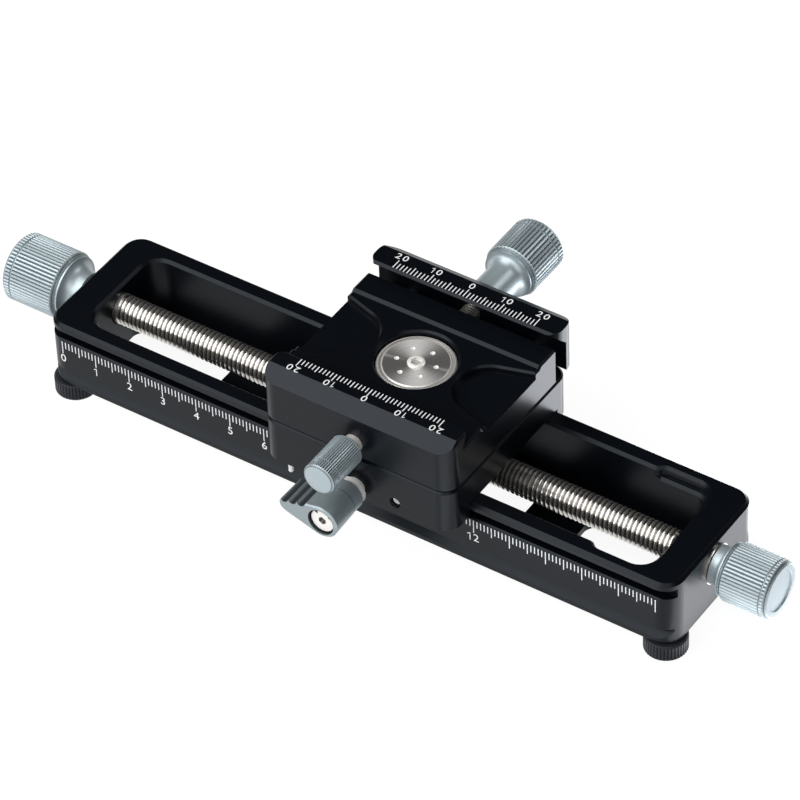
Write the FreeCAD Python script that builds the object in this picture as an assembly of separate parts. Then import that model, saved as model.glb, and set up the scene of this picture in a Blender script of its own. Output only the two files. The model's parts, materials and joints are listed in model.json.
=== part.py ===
"""Manual macro focusing rail with a panning dovetail clamp.

Millimetres. +X runs along the rail towards its small end knob, +Y towards the clamp knob, +Z is up.
The origin is on the rail's underside, at the middle of its length and width.
The carriage stands where its reading line is a little right of the middle of the scale.
"""
import math
import os

import FreeCAD as App
import Part

# Fits and joints: radial or face-to-face clearances between pieces that move.
SHAFT_CLEARANCE = 0.05
SLIDE_CLEARANCE = 0.1
TURNING_GAP = 0.3
THRUST_GAP = 0.15

# Rail frame
RAIL_LENGTH = 179.4
RAIL_WIDTH = 38.0
RAIL_HEIGHT = 19.0
RAIL_CORNER_R = 5.0
RAIL_TOP_CHAMFER = 0.8
GROOVE_BOTTOM = 14.4
GROOVE_TOP = 17.0
GROOVE_DEPTH = 3.0
GROOVE_LIP_CHAMFER = 0.4
DOVETAIL_EDGE = 1.2
DOVETAIL_DEPTH = 2.3
DOVETAIL_LEDGE = 4.4

# Window through the rail
END_WALL = 8.9
SIDE_WALL = 4.95
WINDOW_CORNER_R = 5.0
WINDOW_CHAMFER = 0.75
WINDOW_FLOOR = 1.8
RELIEF_STEP = 1.45
RELIEF_DEPTH = 2.75
RELIEF_LENGTH = 16.5
RELIEF_BLEND = 3.2
SLOT_WIDTH = 12.6
SLOT_CORNER_R = 3.0
OUTER_SLOT_LENGTH = 29.2
BRIDGE_LENGTH = 14.6
PAD_LENGTH = 44.0
PAD_TOP = 4.2
LARGE_TRIPOD_R = 3.97
SMALL_TRIPOD_R = 2.55
SMALL_TRIPOD_SPACING = 28.0

# Lead screw, its bushes and end knobs
SCREW_Z = 12.3
SCREW_R = 3.95
JOURNAL_R = 3.0
BUSH_R = 4.25
BUSH_LENGTH = 5.0
BUSH_FLANGE_R = 5.2
BUSH_FLANGE = 0.6

# Knobs: stations are distances from the neck's face
KNOB_GRIP = 9.0
KNOB_UNDERCUT = 0.5
KNOB_RING_HALF = 0.25
KNOB_RING_DEPTH = 0.25
KNOB_END_RECESS = 0.35
LEFT_NECK_R = 5.5
LEFT_FLARE_FROM = 0.8
LEFT_RIM_R = 8.2
LEFT_RIM_FROM = 4.3
LEFT_RIM_TO = 4.7
LEFT_DRUM_R = 8.9
LEFT_DRUM_FROM = 5.2
LEFT_KNOB_LENGTH = 20.7
LEFT_CHAMFER = 0.7
LEFT_RING = 2.4
LEFT_RECESS_R = 6.5
RIGHT_NECK_R = 5.0
RIGHT_FLARE_FROM = 1.5
RIGHT_RIM_R = 6.8
RIGHT_RIM_FROM = 3.1
RIGHT_RIM_TO = 3.4
RIGHT_DRUM_R = 7.45
RIGHT_DRUM_FROM = 3.7
RIGHT_KNOB_LENGTH = 16.8
RIGHT_CHAMFER = 0.9
RIGHT_RING = 1.9
RIGHT_RECESS_R = 5.4
CLAMP_NECK_R = 4.6
CLAMP_FLARE_FROM = 8.7
CLAMP_RIM_R = 6.5
CLAMP_RIM_FROM = 11.2
CLAMP_RIM_TO = 11.5
CLAMP_DRUM_R = 7.3
CLAMP_DRUM_FROM = 12.3
CLAMP_KNOB_LENGTH = 25.3
CLAMP_CHAMFER = 0.6
CLAMP_RING = 2.6
CLAMP_RECESS_R = 5.2

# Carriage
CARRIAGE_X = 7.67
CARRIAGE_LENGTH = 53.4
CARRIAGE_FRONT = -27.5
CARRIAGE_REAR = 24.8
CARRIAGE_BOTTOM = 15.4
CARRIAGE_TOP = 27.5
BLOCK_CORNER_R = 4.2
BLOCK_CHAMFER = 0.5
HOUSING_LENGTH = 32.0
HOUSING_WIDTH = 22.0
HOUSING_BOTTOM = 4.9
NUT_R = 6.0
NUT_LENGTH = 26.0
NUT_FLANGE = 2.0
NUT_FLANGE_HEIGHT = 12.4
NUT_SCREW_INSET = 2.9
NUT_SCREW_R = 1.25
NUT_SCREW_LENGTH = 9.0
GIB_LENGTH = 48.6
GIB_THICKNESS = 1.9
GIB_SCREW_R = 1.5
GIB_SCREW_SPACING = 22.0
GIB_SCREW_Z = 18.2
GIB_SCREW_SINK = 0.5
INDEX_PIN_R = 0.65
INDEX_PIN_OFFSET = -20.17
INDEX_PIN_Y = -25.5
INDEX_PIN_TIP = 11.5
INDEX_PIN_SEAT = 3.0

# Panning clamp
PIVOT_Y = -0.7
PIVOT_SHANK_R = 6.0
PIVOT_SPIGOT_R = 4.0
PIVOT_SPIGOT_LENGTH = 7.0
DISC_R = 9.7
DISC_TOP = 36.7
DISC_CHAMFER = 0.4
DISC_RING_OUTER = 8.9
DISC_RING_INNER = 8.2
DISC_RING_DEPTH = 0.3
DISC_RECESS_R = 10.0
DISC_RECESS_FLOOR = 34.0
SPANNER_HOLE_R = 0.65
SPANNER_CIRCLE_R = 5.0
SPANNER_HOLES = 6
SPANNER_FIRST_ANGLE = 12.7
SPANNER_HOLE_DEPTH = 1.2
PIVOT_SCREW_R = 2.3
PIVOT_SCREW_LENGTH = 6.0
PIVOT_SOCKET = 2.5
CLAMP_BOTTOM = 27.8
CLAMP_REAR = 18.5
SEAT_TOP = 38.5
SEAT_STEP = 0.7
SEAT_GAP_WIDTH = 25.7
JAW_TOP = 42.3
FIXED_LIP = -18.6
FIXED_LIP_HEIGHT = 1.1
FIXED_LIP_ROOT = -21.0
FIXED_CREST = -23.3
FIXED_SHOULDER = 39.7
LIP_CHAMFER = 0.3
LIP_CORNER_R = 2.5
POCKET_FLOOR = 35.8
POCKET_R = 8.3
POCKET_CENTRE = 20.3
POCKET_FLARE = 16.5

# Sliding jaw with its screw and knob
JAW_BOTTOM = 28.5
JAW_INNER = 23.3
JAW_OUTER = 27.6
JAW_SHOULDER_Y = 25.3
JAW_SHOULDER_Z = 40.8
JAW_LIP = 18.96
JAW_LIP_EDGE = 41.6
JAW_LIP_CHAMFER = 0.64
JAW_LIP_CORNER_R = 3.0
CLAMP_SCREW_Z = 34.4
CLAMP_SCREW_R = 2.5
CLAMP_SCREW_TIP = 13.4
CLAMP_SCREW_HOLE_END = 10.0
WASHER_R = 4.9
WASHER_THICKNESS = 0.4
GUIDE_PIN_R = 1.5
GUIDE_PIN_SPACING = 36.0
GUIDE_PIN_Z = 31.0
GUIDE_PIN_TIP = 9.0
GUIDE_PIN_END = 26.8
GUIDE_HOLE_END = 5.6

# Pan lock, on the clamp's front face
PAN_LOCK_Z = 32.2
PAN_STUD_R = 2.4
PAN_STUD_TIP = -13.0
PAN_PAD_R = 1.5
PAN_KNOB_START = -29.9
PAN_DRUM_R = 4.2
PAN_DRUM_LENGTH = 12.5
PAN_DRUM_CHAMFER = 0.45
PAN_RING = 3.0
PAN_GRIP = 5.0

# Travel lock, on the carriage's front face
LOCK_Z = 18.4
LOCK_STUD_R = 2.5
LOCK_HUB_START = -30.6
LOCK_HUB_END = -33.9
LOCK_HUB_R = 4.1
LOCK_COLLAR_R = 3.4
LOCK_COLLAR = 2.0
LEVER_START = -34.0
LEVER_END = -42.3
LEVER_BOSS_R = 4.5
LEVER_DRAFT = 0.35
LEVER_TIP_X = -10.0
LEVER_TIP_Z = 0.6
LEVER_TIP_R = 1.9
LEVER_CHAMFER = 0.4
LEVER_RECESS_R = 3.55
LEVER_RECESS = 1.9
LEVER_FLUTE_R = 1.5
LEVER_FLUTE_DEPTH = 0.8
LEVER_FLUTE_PITCH = 2.45
LEVER_FLUTES = 3
LOCK_SCREW_HEAD_R = 3.3
LOCK_SCREW_HEAD = 1.6
LOCK_SCREW_R = 1.5
LOCK_SCREW_LENGTH = 9.0
LOCK_SOCKET = 2.0
LOCK_SOCKET_DEPTH = 1.2

# Feet
FOOT_R = 5.4
FOOT_TOP = -0.3
FOOT_BOTTOM = -4.9
FOOT_END_INSET = 4.4
FOOT_SIDE_INSET = 4.4
FOOT_CHAMFER = 0.4
FOOT_STUD_R = 1.5
FOOT_STUD_TOP = 5.2
FOOT_HOLE_TOP = 6.0

# Working values
PAST = 1.0
TOLERANCE = 1e-5
SIDES = (-1, 1)
HEX_ANGLES = range(0, 360, 60)
HALF_RAIL = RAIL_LENGTH / 2
HALF_WINDOW = HALF_RAIL - END_WALL
HALF_OPENING = RAIL_WIDTH / 2 - SIDE_WALL
BRIDGE_OUTER = HALF_WINDOW - OUTER_SLOT_LENGTH
BRIDGE_INNER = BRIDGE_OUTER - BRIDGE_LENGTH
FOOT_X = HALF_RAIL - FOOT_END_INSET
FOOT_Y = RAIL_WIDTH / 2 - FOOT_SIDE_INSET
CARRIAGE_SPAN = (CARRIAGE_X - CARRIAGE_LENGTH / 2, CARRIAGE_X + CARRIAGE_LENGTH / 2)
RUNWAY = RAIL_WIDTH / 2 + SLIDE_CLEARANCE
PLATE_UNDERSIDE = RAIL_HEIGHT + SLIDE_CLEARANCE
GIB_BACK = -(RUNWAY + GIB_THICKNESS)

ALONG = App.Vector(1, 0, 0)
BACK = App.Vector(0, 1, 0)
FRONT = App.Vector(0, -1, 0)
UP = App.Vector(0, 0, 1)


# ---------------------------------------------------------------- shared shapes

def both_ways(half):
    """Span from minus to plus a half size."""
    return (-half, half)


def in_plan(height):
    """Place outline points in a level plane."""
    return lambda x, y: App.Vector(x, y, height)


def in_section(x):
    """Place outline points in a plane across the rail."""
    return lambda y, z: App.Vector(x, y, z)


def in_front_view(y):
    """Place outline points in a plane along the rail."""
    return lambda x, z: App.Vector(x, y, z)


def outline(place, start, *steps):
    """Closed wire from a start point; each step is an end point, or (through point, end point) for an arc."""
    edges = []
    here = start
    for step in steps + (start,):
        is_arc = isinstance(step[0], tuple)
        end = step[1] if is_arc else step
        if is_arc:
            edges.append(Part.Arc(place(*here), place(*step[0]), place(*end)).toShape())
        elif math.dist(here, end) > TOLERANCE:
            edges.append(Part.makeLine(place(*here), place(*end)))
        here = end
    return Part.Wire(edges)


def extruded(wire, direction, length):
    """Solid from a planar wire."""
    return Part.Face(wire).extrude(direction * length)


def turned(start, *steps):
    """Solid of revolution about Z from an outline of (radius, height) points."""
    face = Part.Face(outline(in_front_view(0), start, *steps))
    return face.revolve(App.Vector(0, 0, 0), UP, 360)


def aimed(shape, origin, direction):
    """A shape built along +Z, turned onto a direction from an origin."""
    shape.Placement = App.Placement(origin, App.Rotation(UP, direction))
    return shape


def rod(origin, direction, radius, length):
    """Plain cylinder."""
    return Part.makeCylinder(radius, length, origin, direction)


def block(x_span, y_span, z_span):
    """Box between three spans."""
    lows = App.Vector(x_span[0], y_span[0], z_span[0])
    return Part.makeBox(x_span[1] - x_span[0], y_span[1] - y_span[0], z_span[1] - z_span[0], lows)


def rounded_block(x_span, y_span, z_span, front_r, rear_r):
    """Box with rounded upright corners: front_r on the -Y side, rear_r on the +Y side."""
    solid = block(x_span, y_span, z_span)
    for y, radius in zip(y_span, (front_r, rear_r)):
        if radius > 0:
            corners = [edge for edge in solid.Edges
                       if abs(edge.tangentAt(edge.FirstParameter).z) > 1 - TOLERANCE
                       and abs(edge.CenterOfMass.y - y) < TOLERANCE]
            solid = solid.makeFillet(radius, corners)
    return solid


def level_edges(solid, height):
    """Edges of a solid that lie at one height."""
    return [edge for edge in solid.Edges
            if all(abs(vertex.Z - height) < TOLERANCE for vertex in edge.Vertexes)
            and abs(edge.CenterOfMass.z - height) < TOLERANCE]


def hex_socket(origin, direction, across_flats, depth):
    """Tool for a hexagon socket sunk along a direction."""
    reach = across_flats / math.sqrt(3)
    corners = [App.Vector(reach * math.cos(math.radians(a)), reach * math.sin(math.radians(a)), 0)
               for a in HEX_ANGLES]
    prism = extruded(Part.makePolygon(corners + corners[:1]), UP, depth)
    return aimed(prism, origin, direction)


def corner_tool(corner, inward, radius, z_span):
    """Tool that rounds one upright outer corner; inward is the pair of signs that points into the solid."""
    centre = (corner[0] + inward[0] * radius, corner[1] + inward[1] * radius)
    x_span = sorted((corner[0] - inward[0] * PAST, centre[0]))
    y_span = sorted((corner[1] - inward[1] * PAST, centre[1]))
    waste = block(x_span, y_span, z_span)
    keep = rod(App.Vector(centre[0], centre[1], z_span[0]), UP, radius, z_span[1] - z_span[0])
    return waste.cut(keep)


def flared_mouth(wire, height, size):
    """Tool for the chamfer round a pocket's mouth: the pocket's outline, widened towards the top."""
    lower = wire.copy()
    lower.translate(UP * (height - size))
    upper = wire.makeOffset2D(size)
    upper.translate(UP * height)
    return Part.makeLoft([lower, upper], True, True)


def common_fused(solids):
    """One solid from pieces that overlap."""
    whole = solids[0]
    for piece in solids[1:]:
        whole = whole.fuse(piece)
    return whole.removeSplitter()


# ---------------------------------------------------------------- rail frame

def guide_groove(side):
    """Groove in a long side, for the carriage's lip; its lower edge is chamfered."""
    face = RAIL_WIDTH / 2
    slope_out = face + PAST
    slope_low = GROOVE_BOTTOM - GROOVE_LIP_CHAMFER - PAST
    profile = outline(in_section(-HALF_RAIL - PAST),
                      (side * (face - GROOVE_DEPTH), GROOVE_TOP),
                      (side * slope_out, GROOVE_TOP),
                      (side * slope_out, slope_low),
                      (side * (face - GROOVE_LIP_CHAMFER), GROOVE_BOTTOM),
                      (side * (face - GROOVE_DEPTH), GROOVE_BOTTOM))
    return extruded(profile, ALONG, RAIL_LENGTH + 2 * PAST)


def dovetail_notch(side):
    """Notch low in a long side that leaves a 45 degree dovetail for a quick-release clamp."""
    face = RAIL_WIDTH / 2
    root = face - DOVETAIL_DEPTH
    profile = outline(in_section(-HALF_RAIL - PAST),
                      (side * (face + PAST), DOVETAIL_EDGE - PAST),
                      (side * root, DOVETAIL_EDGE + DOVETAIL_DEPTH),
                      (side * root, DOVETAIL_LEDGE),
                      (side * (face + PAST), DOVETAIL_LEDGE))
    return extruded(profile, ALONG, RAIL_LENGTH + 2 * PAST)


def window_outline():
    """Plain window, with round corners."""
    plain = rounded_block(both_ways(HALF_WINDOW), both_ways(HALF_OPENING), (0, PAST),
                          WINDOW_CORNER_R, WINDOW_CORNER_R)
    lowest = min(plain.Faces, key=lambda face: face.CenterOfMass.z)
    return lowest.OuterWire


def relieved_outline():
    """Window's mouth: near the small knob it widens through an S bend, over a shallow ledge."""
    half, wide = HALF_OPENING, HALF_OPENING + RELIEF_STEP
    start = HALF_WINDOW - RELIEF_LENGTH
    bend = RELIEF_BLEND / 2
    middle = (start + bend, (half + wide) / 2)
    slant = 2 * math.atan2(RELIEF_STEP / 2, bend)
    radius = bend / math.sin(slant)
    dip_x = radius * math.sin(slant / 2)
    dip_y = radius * (1 - math.cos(slant / 2))
    corner = WINDOW_CORNER_R
    tuck = corner * (1 - math.sqrt(0.5))
    left, right = -HALF_WINDOW, HALF_WINDOW
    end = start + RELIEF_BLEND
    return outline(in_plan(0),
                   (left + corner, -half),
                   (start, -half),
                   ((start + dip_x, -half - dip_y), (middle[0], -middle[1])),
                   ((end - dip_x, -wide + dip_y), (end, -wide)),
                   (right - corner, -wide),
                   ((right - tuck, -wide + tuck), (right, -wide + corner)),
                   (right, wide - corner),
                   ((right - tuck, wide - tuck), (right - corner, wide)),
                   (end, wide),
                   ((end - dip_x, wide - dip_y), middle),
                   ((start + dip_x, half + dip_y), (start, half)),
                   (left + corner, half),
                   ((left + tuck, half - tuck), (left, half - corner)),
                   (left, -half + corner),
                   ((left + tuck, -half + tuck), (left + corner, -half)))


def window_tool():
    """Everything milled from above: the window, its widened mouth and both edge chamfers."""
    plain = window_outline()
    mouth = relieved_outline()
    ledge = RAIL_HEIGHT - RELIEF_DEPTH
    deep = extruded(plain, UP, RAIL_HEIGHT)
    deep.translate(UP * WINDOW_FLOOR)
    pad = block(both_ways(PAD_LENGTH / 2), both_ways(HALF_OPENING + PAST), (0, PAD_TOP))
    shallow = extruded(mouth, UP, RELIEF_DEPTH + PAST)
    shallow.translate(UP * ledge)
    ledge_chamfer = flared_mouth(plain, ledge, WINDOW_CHAMFER)
    relief_zone = block((HALF_WINDOW - RELIEF_LENGTH + RELIEF_BLEND / 2, HALF_WINDOW + PAST),
                        both_ways(RAIL_WIDTH / 2), (0, RAIL_HEIGHT))
    return common_fused([deep.cut(pad),
                         shallow,
                         flared_mouth(mouth, RAIL_HEIGHT, WINDOW_CHAMFER),
                         ledge_chamfer.common(relief_zone)])


def floor_slots():
    """Openings milled through the window's floor; a bridge is left between each pair."""
    slots = []
    for low, high in ((BRIDGE_OUTER, HALF_WINDOW), (PAD_LENGTH / 2, BRIDGE_INNER)):
        for side in SIDES:
            x_span = sorted((side * low, side * high))
            slots.append(rounded_block(x_span, both_ways(SLOT_WIDTH / 2), (-PAST, PAD_TOP),
                                       SLOT_CORNER_R, SLOT_CORNER_R))
    return slots


def rail_frame():
    """Anodised rail: scale faces, guide grooves, bottom dovetail, window, end walls and threaded holes."""
    body = rounded_block(both_ways(HALF_RAIL), both_ways(RAIL_WIDTH / 2), (0, RAIL_HEIGHT),
                         RAIL_CORNER_R, RAIL_CORNER_R)
    body = body.makeChamfer(RAIL_TOP_CHAMFER, level_edges(body, RAIL_HEIGHT))
    tools = [window_tool()] + floor_slots()
    for side in SIDES:
        tools.append(guide_groove(side))
        tools.append(dovetail_notch(side))
    tools.append(rod(App.Vector(-HALF_RAIL - PAST, 0, SCREW_Z), ALONG, BUSH_R, RAIL_LENGTH + 2 * PAST))
    tools.append(rod(App.Vector(0, 0, -PAST), UP, LARGE_TRIPOD_R, PAD_TOP + 2 * PAST))
    for side in SIDES:
        small_x = side * SMALL_TRIPOD_SPACING / 2
        tools.append(rod(App.Vector(small_x, 0, -PAST), UP, SMALL_TRIPOD_R, PAD_TOP + 2 * PAST))
    for x in both_ways(FOOT_X):
        for y in both_ways(FOOT_Y):
            tools.append(rod(App.Vector(x, y, -PAST), UP, FOOT_STUD_R + SHAFT_CLEARANCE,
                             FOOT_HOLE_TOP + PAST))
    for tool in tools:
        body = body.cut(tool)
    return body


def bush(side):
    """Flanged plain bearing pressed into an end wall from outside."""
    bore = JOURNAL_R + SHAFT_CLEARANCE
    shape = turned((bore, -BUSH_LENGTH), (BUSH_R, -BUSH_LENGTH), (BUSH_R, 0), (BUSH_FLANGE_R, 0),
                   (BUSH_FLANGE_R, BUSH_FLANGE), (bore, BUSH_FLANGE))
    return aimed(shape, App.Vector(side * HALF_RAIL, 0, SCREW_Z), ALONG * side)


# ---------------------------------------------------------------- lead screw and knobs

def knob(neck_r, flare_from, rim_r, rim_from, rim_to, drum_r, drum_from, length, chamfer, ring, recess_r, bore_r):
    """Turned knob along +Z: neck, concave flare, rim, undercut, drum with a ring groove, shallow end recess."""
    ring_at = length - ring
    flare_mid = (neck_r + (rim_r - neck_r) * 0.3, flare_from + (rim_from - flare_from) * 0.62)
    return turned((bore_r, 0),
                  (neck_r, 0),
                  (neck_r, flare_from),
                  (flare_mid, (rim_r, rim_from)),
                  (rim_r, rim_to),
                  (rim_r - KNOB_UNDERCUT, rim_to),
                  (rim_r - KNOB_UNDERCUT, drum_from),
                  (drum_r - chamfer, drum_from),
                  (drum_r, drum_from + chamfer),
                  (drum_r, ring_at - KNOB_RING_HALF),
                  (drum_r - KNOB_RING_DEPTH, ring_at),
                  (drum_r, ring_at + KNOB_RING_HALF),
                  (drum_r, length - chamfer),
                  (drum_r - chamfer, length),
                  (recess_r, length),
                  (recess_r, length - KNOB_END_RECESS),
                  (0, length - KNOB_END_RECESS),
                  (0, KNOB_GRIP),
                  (bore_r, KNOB_GRIP))


def lead_screw():
    """Screw between the end walls, with a journal through each bush into its knob."""
    shoulder = HALF_RAIL - BUSH_LENGTH - THRUST_GAP
    tip = HALF_RAIL + BUSH_FLANGE + TURNING_GAP + KNOB_GRIP
    shape = turned((0, -tip), (JOURNAL_R, -tip), (JOURNAL_R, -shoulder), (SCREW_R, -shoulder),
                   (SCREW_R, shoulder), (JOURNAL_R, shoulder), (JOURNAL_R, tip), (0, tip))
    return aimed(shape, App.Vector(0, 0, SCREW_Z), ALONG)


def end_knob_origin(side):
    """Where an end knob's neck starts, clear of the bush flange."""
    return App.Vector(side * (HALF_RAIL + BUSH_FLANGE + TURNING_GAP), 0, SCREW_Z)


def left_knob():
    """Large drive knob."""
    shape = knob(LEFT_NECK_R, LEFT_FLARE_FROM, LEFT_RIM_R, LEFT_RIM_FROM, LEFT_RIM_TO, LEFT_DRUM_R,
                 LEFT_DRUM_FROM, LEFT_KNOB_LENGTH, LEFT_CHAMFER, LEFT_RING, LEFT_RECESS_R, JOURNAL_R)
    return aimed(shape, end_knob_origin(-1), -ALONG)


def right_knob():
    """Small drive knob."""
    shape = knob(RIGHT_NECK_R, RIGHT_FLARE_FROM, RIGHT_RIM_R, RIGHT_RIM_FROM, RIGHT_RIM_TO, RIGHT_DRUM_R,
                 RIGHT_DRUM_FROM, RIGHT_KNOB_LENGTH, RIGHT_CHAMFER, RIGHT_RING, RIGHT_RECESS_R, JOURNAL_R)
    return aimed(shape, end_knob_origin(1), ALONG)


# ---------------------------------------------------------------- carriage

def saddle_channel():
    """Space the rail's head runs in: it leaves a lip under the head on the rear side."""
    groove_wall = RAIL_WIDTH / 2 - GROOVE_DEPTH
    lip_tip = groove_wall + SLIDE_CLEARANCE
    lip_top = GROOVE_TOP - SLIDE_CLEARANCE
    profile = outline(in_section(CARRIAGE_SPAN[0] - PAST),
                      (-RUNWAY, CARRIAGE_BOTTOM - PAST),
                      (-RUNWAY, PLATE_UNDERSIDE),
                      (RUNWAY, PLATE_UNDERSIDE),
                      (RUNWAY, lip_top),
                      (lip_tip, lip_top),
                      (lip_tip, CARRIAGE_BOTTOM - PAST))
    return extruded(profile, ALONG, CARRIAGE_LENGTH + 2 * PAST)


def front_screw_positions():
    """Places of the two gib set screws on the carriage's front face."""
    return [App.Vector(CARRIAGE_X + side * GIB_SCREW_SPACING / 2, CARRIAGE_FRONT, GIB_SCREW_Z)
            for side in SIDES]


def nut_screw_positions():
    """Places of the two screws that hold the drive nut's flange."""
    x = CARRIAGE_X - HOUSING_LENGTH / 2 - NUT_FLANGE
    return [App.Vector(x, side * (HOUSING_WIDTH / 2 - NUT_SCREW_INSET), SCREW_Z) for side in SIDES]


def carriage_body():
    """Saddle that straddles the rail, with the nut housing hanging into the window."""
    saddle = rounded_block(CARRIAGE_SPAN, (CARRIAGE_FRONT, CARRIAGE_REAR), (CARRIAGE_BOTTOM, CARRIAGE_TOP),
                           BLOCK_CORNER_R, BLOCK_CORNER_R)
    saddle = saddle.makeChamfer(BLOCK_CHAMFER, level_edges(saddle, CARRIAGE_TOP))
    saddle = saddle.cut(saddle_channel())
    gib_half = GIB_LENGTH / 2 + SLIDE_CLEARANCE
    saddle = saddle.cut(block((CARRIAGE_X - gib_half, CARRIAGE_X + gib_half), (GIB_BACK, 0),
                              (CARRIAGE_BOTTOM - PAST, PLATE_UNDERSIDE)))
    housing_half = HOUSING_LENGTH / 2
    housing = block((CARRIAGE_X - housing_half, CARRIAGE_X + housing_half), both_ways(HOUSING_WIDTH / 2),
                    (HOUSING_BOTTOM, PLATE_UNDERSIDE + PAST))
    body = common_fused([saddle, housing])
    left_end = CARRIAGE_X - housing_half
    tools = [rod(App.Vector(left_end, 0, SCREW_Z), ALONG, NUT_R, NUT_LENGTH),
             rod(App.Vector(left_end, 0, SCREW_Z), ALONG, SCREW_R + TURNING_GAP, HOUSING_LENGTH),
             rod(App.Vector(CARRIAGE_X, PIVOT_Y, CARRIAGE_TOP - PIVOT_SPIGOT_LENGTH), UP,
                 PIVOT_SPIGOT_R, PIVOT_SPIGOT_LENGTH),
             rod(App.Vector(CARRIAGE_X, CARRIAGE_FRONT, LOCK_Z), BACK,
                 LOCK_STUD_R + SHAFT_CLEARANCE, GIB_BACK - CARRIAGE_FRONT),
             rod(App.Vector(CARRIAGE_X + INDEX_PIN_OFFSET, INDEX_PIN_Y, CARRIAGE_BOTTOM), UP,
                 INDEX_PIN_R, INDEX_PIN_SEAT)]
    tools += [rod(place, BACK, GIB_SCREW_R, GIB_BACK - CARRIAGE_FRONT) for place in front_screw_positions()]
    tools += [rod(place, ALONG, NUT_SCREW_R, NUT_SCREW_LENGTH) for place in nut_screw_positions()]
    for tool in tools:
        body = body.cut(tool)
    return body


def drive_nut():
    """Brass nut that runs on the lead screw, flanged at its outer end."""
    left_end = CARRIAGE_X - HOUSING_LENGTH / 2
    barrel = rod(App.Vector(left_end, 0, SCREW_Z), ALONG, NUT_R, NUT_LENGTH)
    flange = block((left_end - NUT_FLANGE, left_end), both_ways(HOUSING_WIDTH / 2),
                   (SCREW_Z - NUT_FLANGE_HEIGHT / 2, SCREW_Z + NUT_FLANGE_HEIGHT / 2))
    nut = common_fused([barrel, flange])
    nut = nut.cut(rod(App.Vector(left_end - NUT_FLANGE, 0, SCREW_Z), ALONG,
                      SCREW_R + SHAFT_CLEARANCE, NUT_LENGTH + NUT_FLANGE))
    for screw in nut_screws().Solids:
        nut = nut.cut(screw)
    return nut


def nut_screws():
    """Two countersunk screws through the nut's flange into the housing."""
    head_r = 2 * NUT_SCREW_R
    head = head_r - NUT_SCREW_R
    screws = []
    for place in nut_screw_positions():
        shape = turned((0, 0), (head_r, 0), (NUT_SCREW_R, head), (NUT_SCREW_R, NUT_SCREW_LENGTH),
                       (0, NUT_SCREW_LENGTH))
        screws.append(aimed(shape, place, ALONG))
    return Part.makeCompound(screws)


def gib_strip():
    """Brass strip between the rail's head and the front flange; its lip runs in the guide groove."""
    groove_wall = RAIL_WIDTH / 2 - GROOVE_DEPTH
    lip_tip = -(groove_wall + SLIDE_CLEARANCE)
    bottom = CARRIAGE_BOTTOM + SLIDE_CLEARANCE
    lip_top = GROOVE_TOP - SLIDE_CLEARANCE
    profile = outline(in_section(CARRIAGE_X - GIB_LENGTH / 2),
                      (GIB_BACK, bottom),
                      (lip_tip, bottom),
                      (lip_tip, lip_top),
                      (-RUNWAY, lip_top),
                      (-RUNWAY, PLATE_UNDERSIDE - SLIDE_CLEARANCE),
                      (GIB_BACK, PLATE_UNDERSIDE - SLIDE_CLEARANCE))
    return extruded(profile, ALONG, GIB_LENGTH)


def gib_set_screws():
    """Two set screws that press on the gib strip."""
    screws = []
    for place in front_screw_positions():
        outer = place + BACK * GIB_SCREW_SINK
        screw = rod(outer, BACK, GIB_SCREW_R, GIB_BACK - outer.y)
        screws.append(screw.cut(hex_socket(outer, BACK, GIB_SCREW_R, GIB_SCREW_R)))
    return Part.makeCompound(screws)


def index_pin():
    """White reading pin that hangs in front of the scale."""
    seat = CARRIAGE_BOTTOM + INDEX_PIN_SEAT
    pin = rod(App.Vector(CARRIAGE_X + INDEX_PIN_OFFSET, INDEX_PIN_Y, INDEX_PIN_TIP), UP,
              INDEX_PIN_R, seat - INDEX_PIN_TIP)
    return pin.makeChamfer(INDEX_PIN_R / 4, level_edges(pin, INDEX_PIN_TIP))


# ---------------------------------------------------------------- panning clamp

def pivot_disc():
    """Steel shoulder bolt on which the clamp pans; its broad head has a ring groove and six spanner holes."""
    disc_underside = DISC_RECESS_FLOOR + THRUST_GAP
    shape = turned((0, CARRIAGE_TOP - PIVOT_SPIGOT_LENGTH),
                   (PIVOT_SPIGOT_R, CARRIAGE_TOP - PIVOT_SPIGOT_LENGTH),
                   (PIVOT_SPIGOT_R, CARRIAGE_TOP),
                   (PIVOT_SHANK_R, CARRIAGE_TOP),
                   (PIVOT_SHANK_R, disc_underside),
                   (DISC_R, disc_underside),
                   (DISC_R, DISC_TOP - DISC_CHAMFER),
                   (DISC_R - DISC_CHAMFER, DISC_TOP),
                   (DISC_RING_OUTER, DISC_TOP),
                   (DISC_RING_OUTER, DISC_TOP - DISC_RING_DEPTH),
                   (DISC_RING_INNER + DISC_RING_DEPTH, DISC_TOP - DISC_RING_DEPTH),
                   (DISC_RING_INNER, DISC_TOP),
                   (0, DISC_TOP))
    shape = shape.cut(rod(App.Vector(0, 0, DISC_TOP - PIVOT_SCREW_LENGTH), UP,
                          PIVOT_SCREW_R, PIVOT_SCREW_LENGTH))
    for index in range(SPANNER_HOLES):
        angle = math.radians(SPANNER_FIRST_ANGLE + index * 360 / SPANNER_HOLES)
        foot = App.Vector(SPANNER_CIRCLE_R * math.cos(angle), SPANNER_CIRCLE_R * math.sin(angle),
                          DISC_TOP - SPANNER_HOLE_DEPTH)
        shape = shape.cut(rod(foot, UP, SPANNER_HOLE_R, SPANNER_HOLE_DEPTH + PAST))
    return aimed(shape, App.Vector(CARRIAGE_X, PIVOT_Y, 0), UP)


def pivot_screw():
    """Socket screw in the middle of the pivot disc."""
    top = App.Vector(CARRIAGE_X, PIVOT_Y, DISC_TOP)
    screw = rod(top - UP * PIVOT_SCREW_LENGTH, UP, PIVOT_SCREW_R, PIVOT_SCREW_LENGTH)
    return screw.cut(hex_socket(top, -UP, PIVOT_SOCKET, PIVOT_SOCKET))


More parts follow.
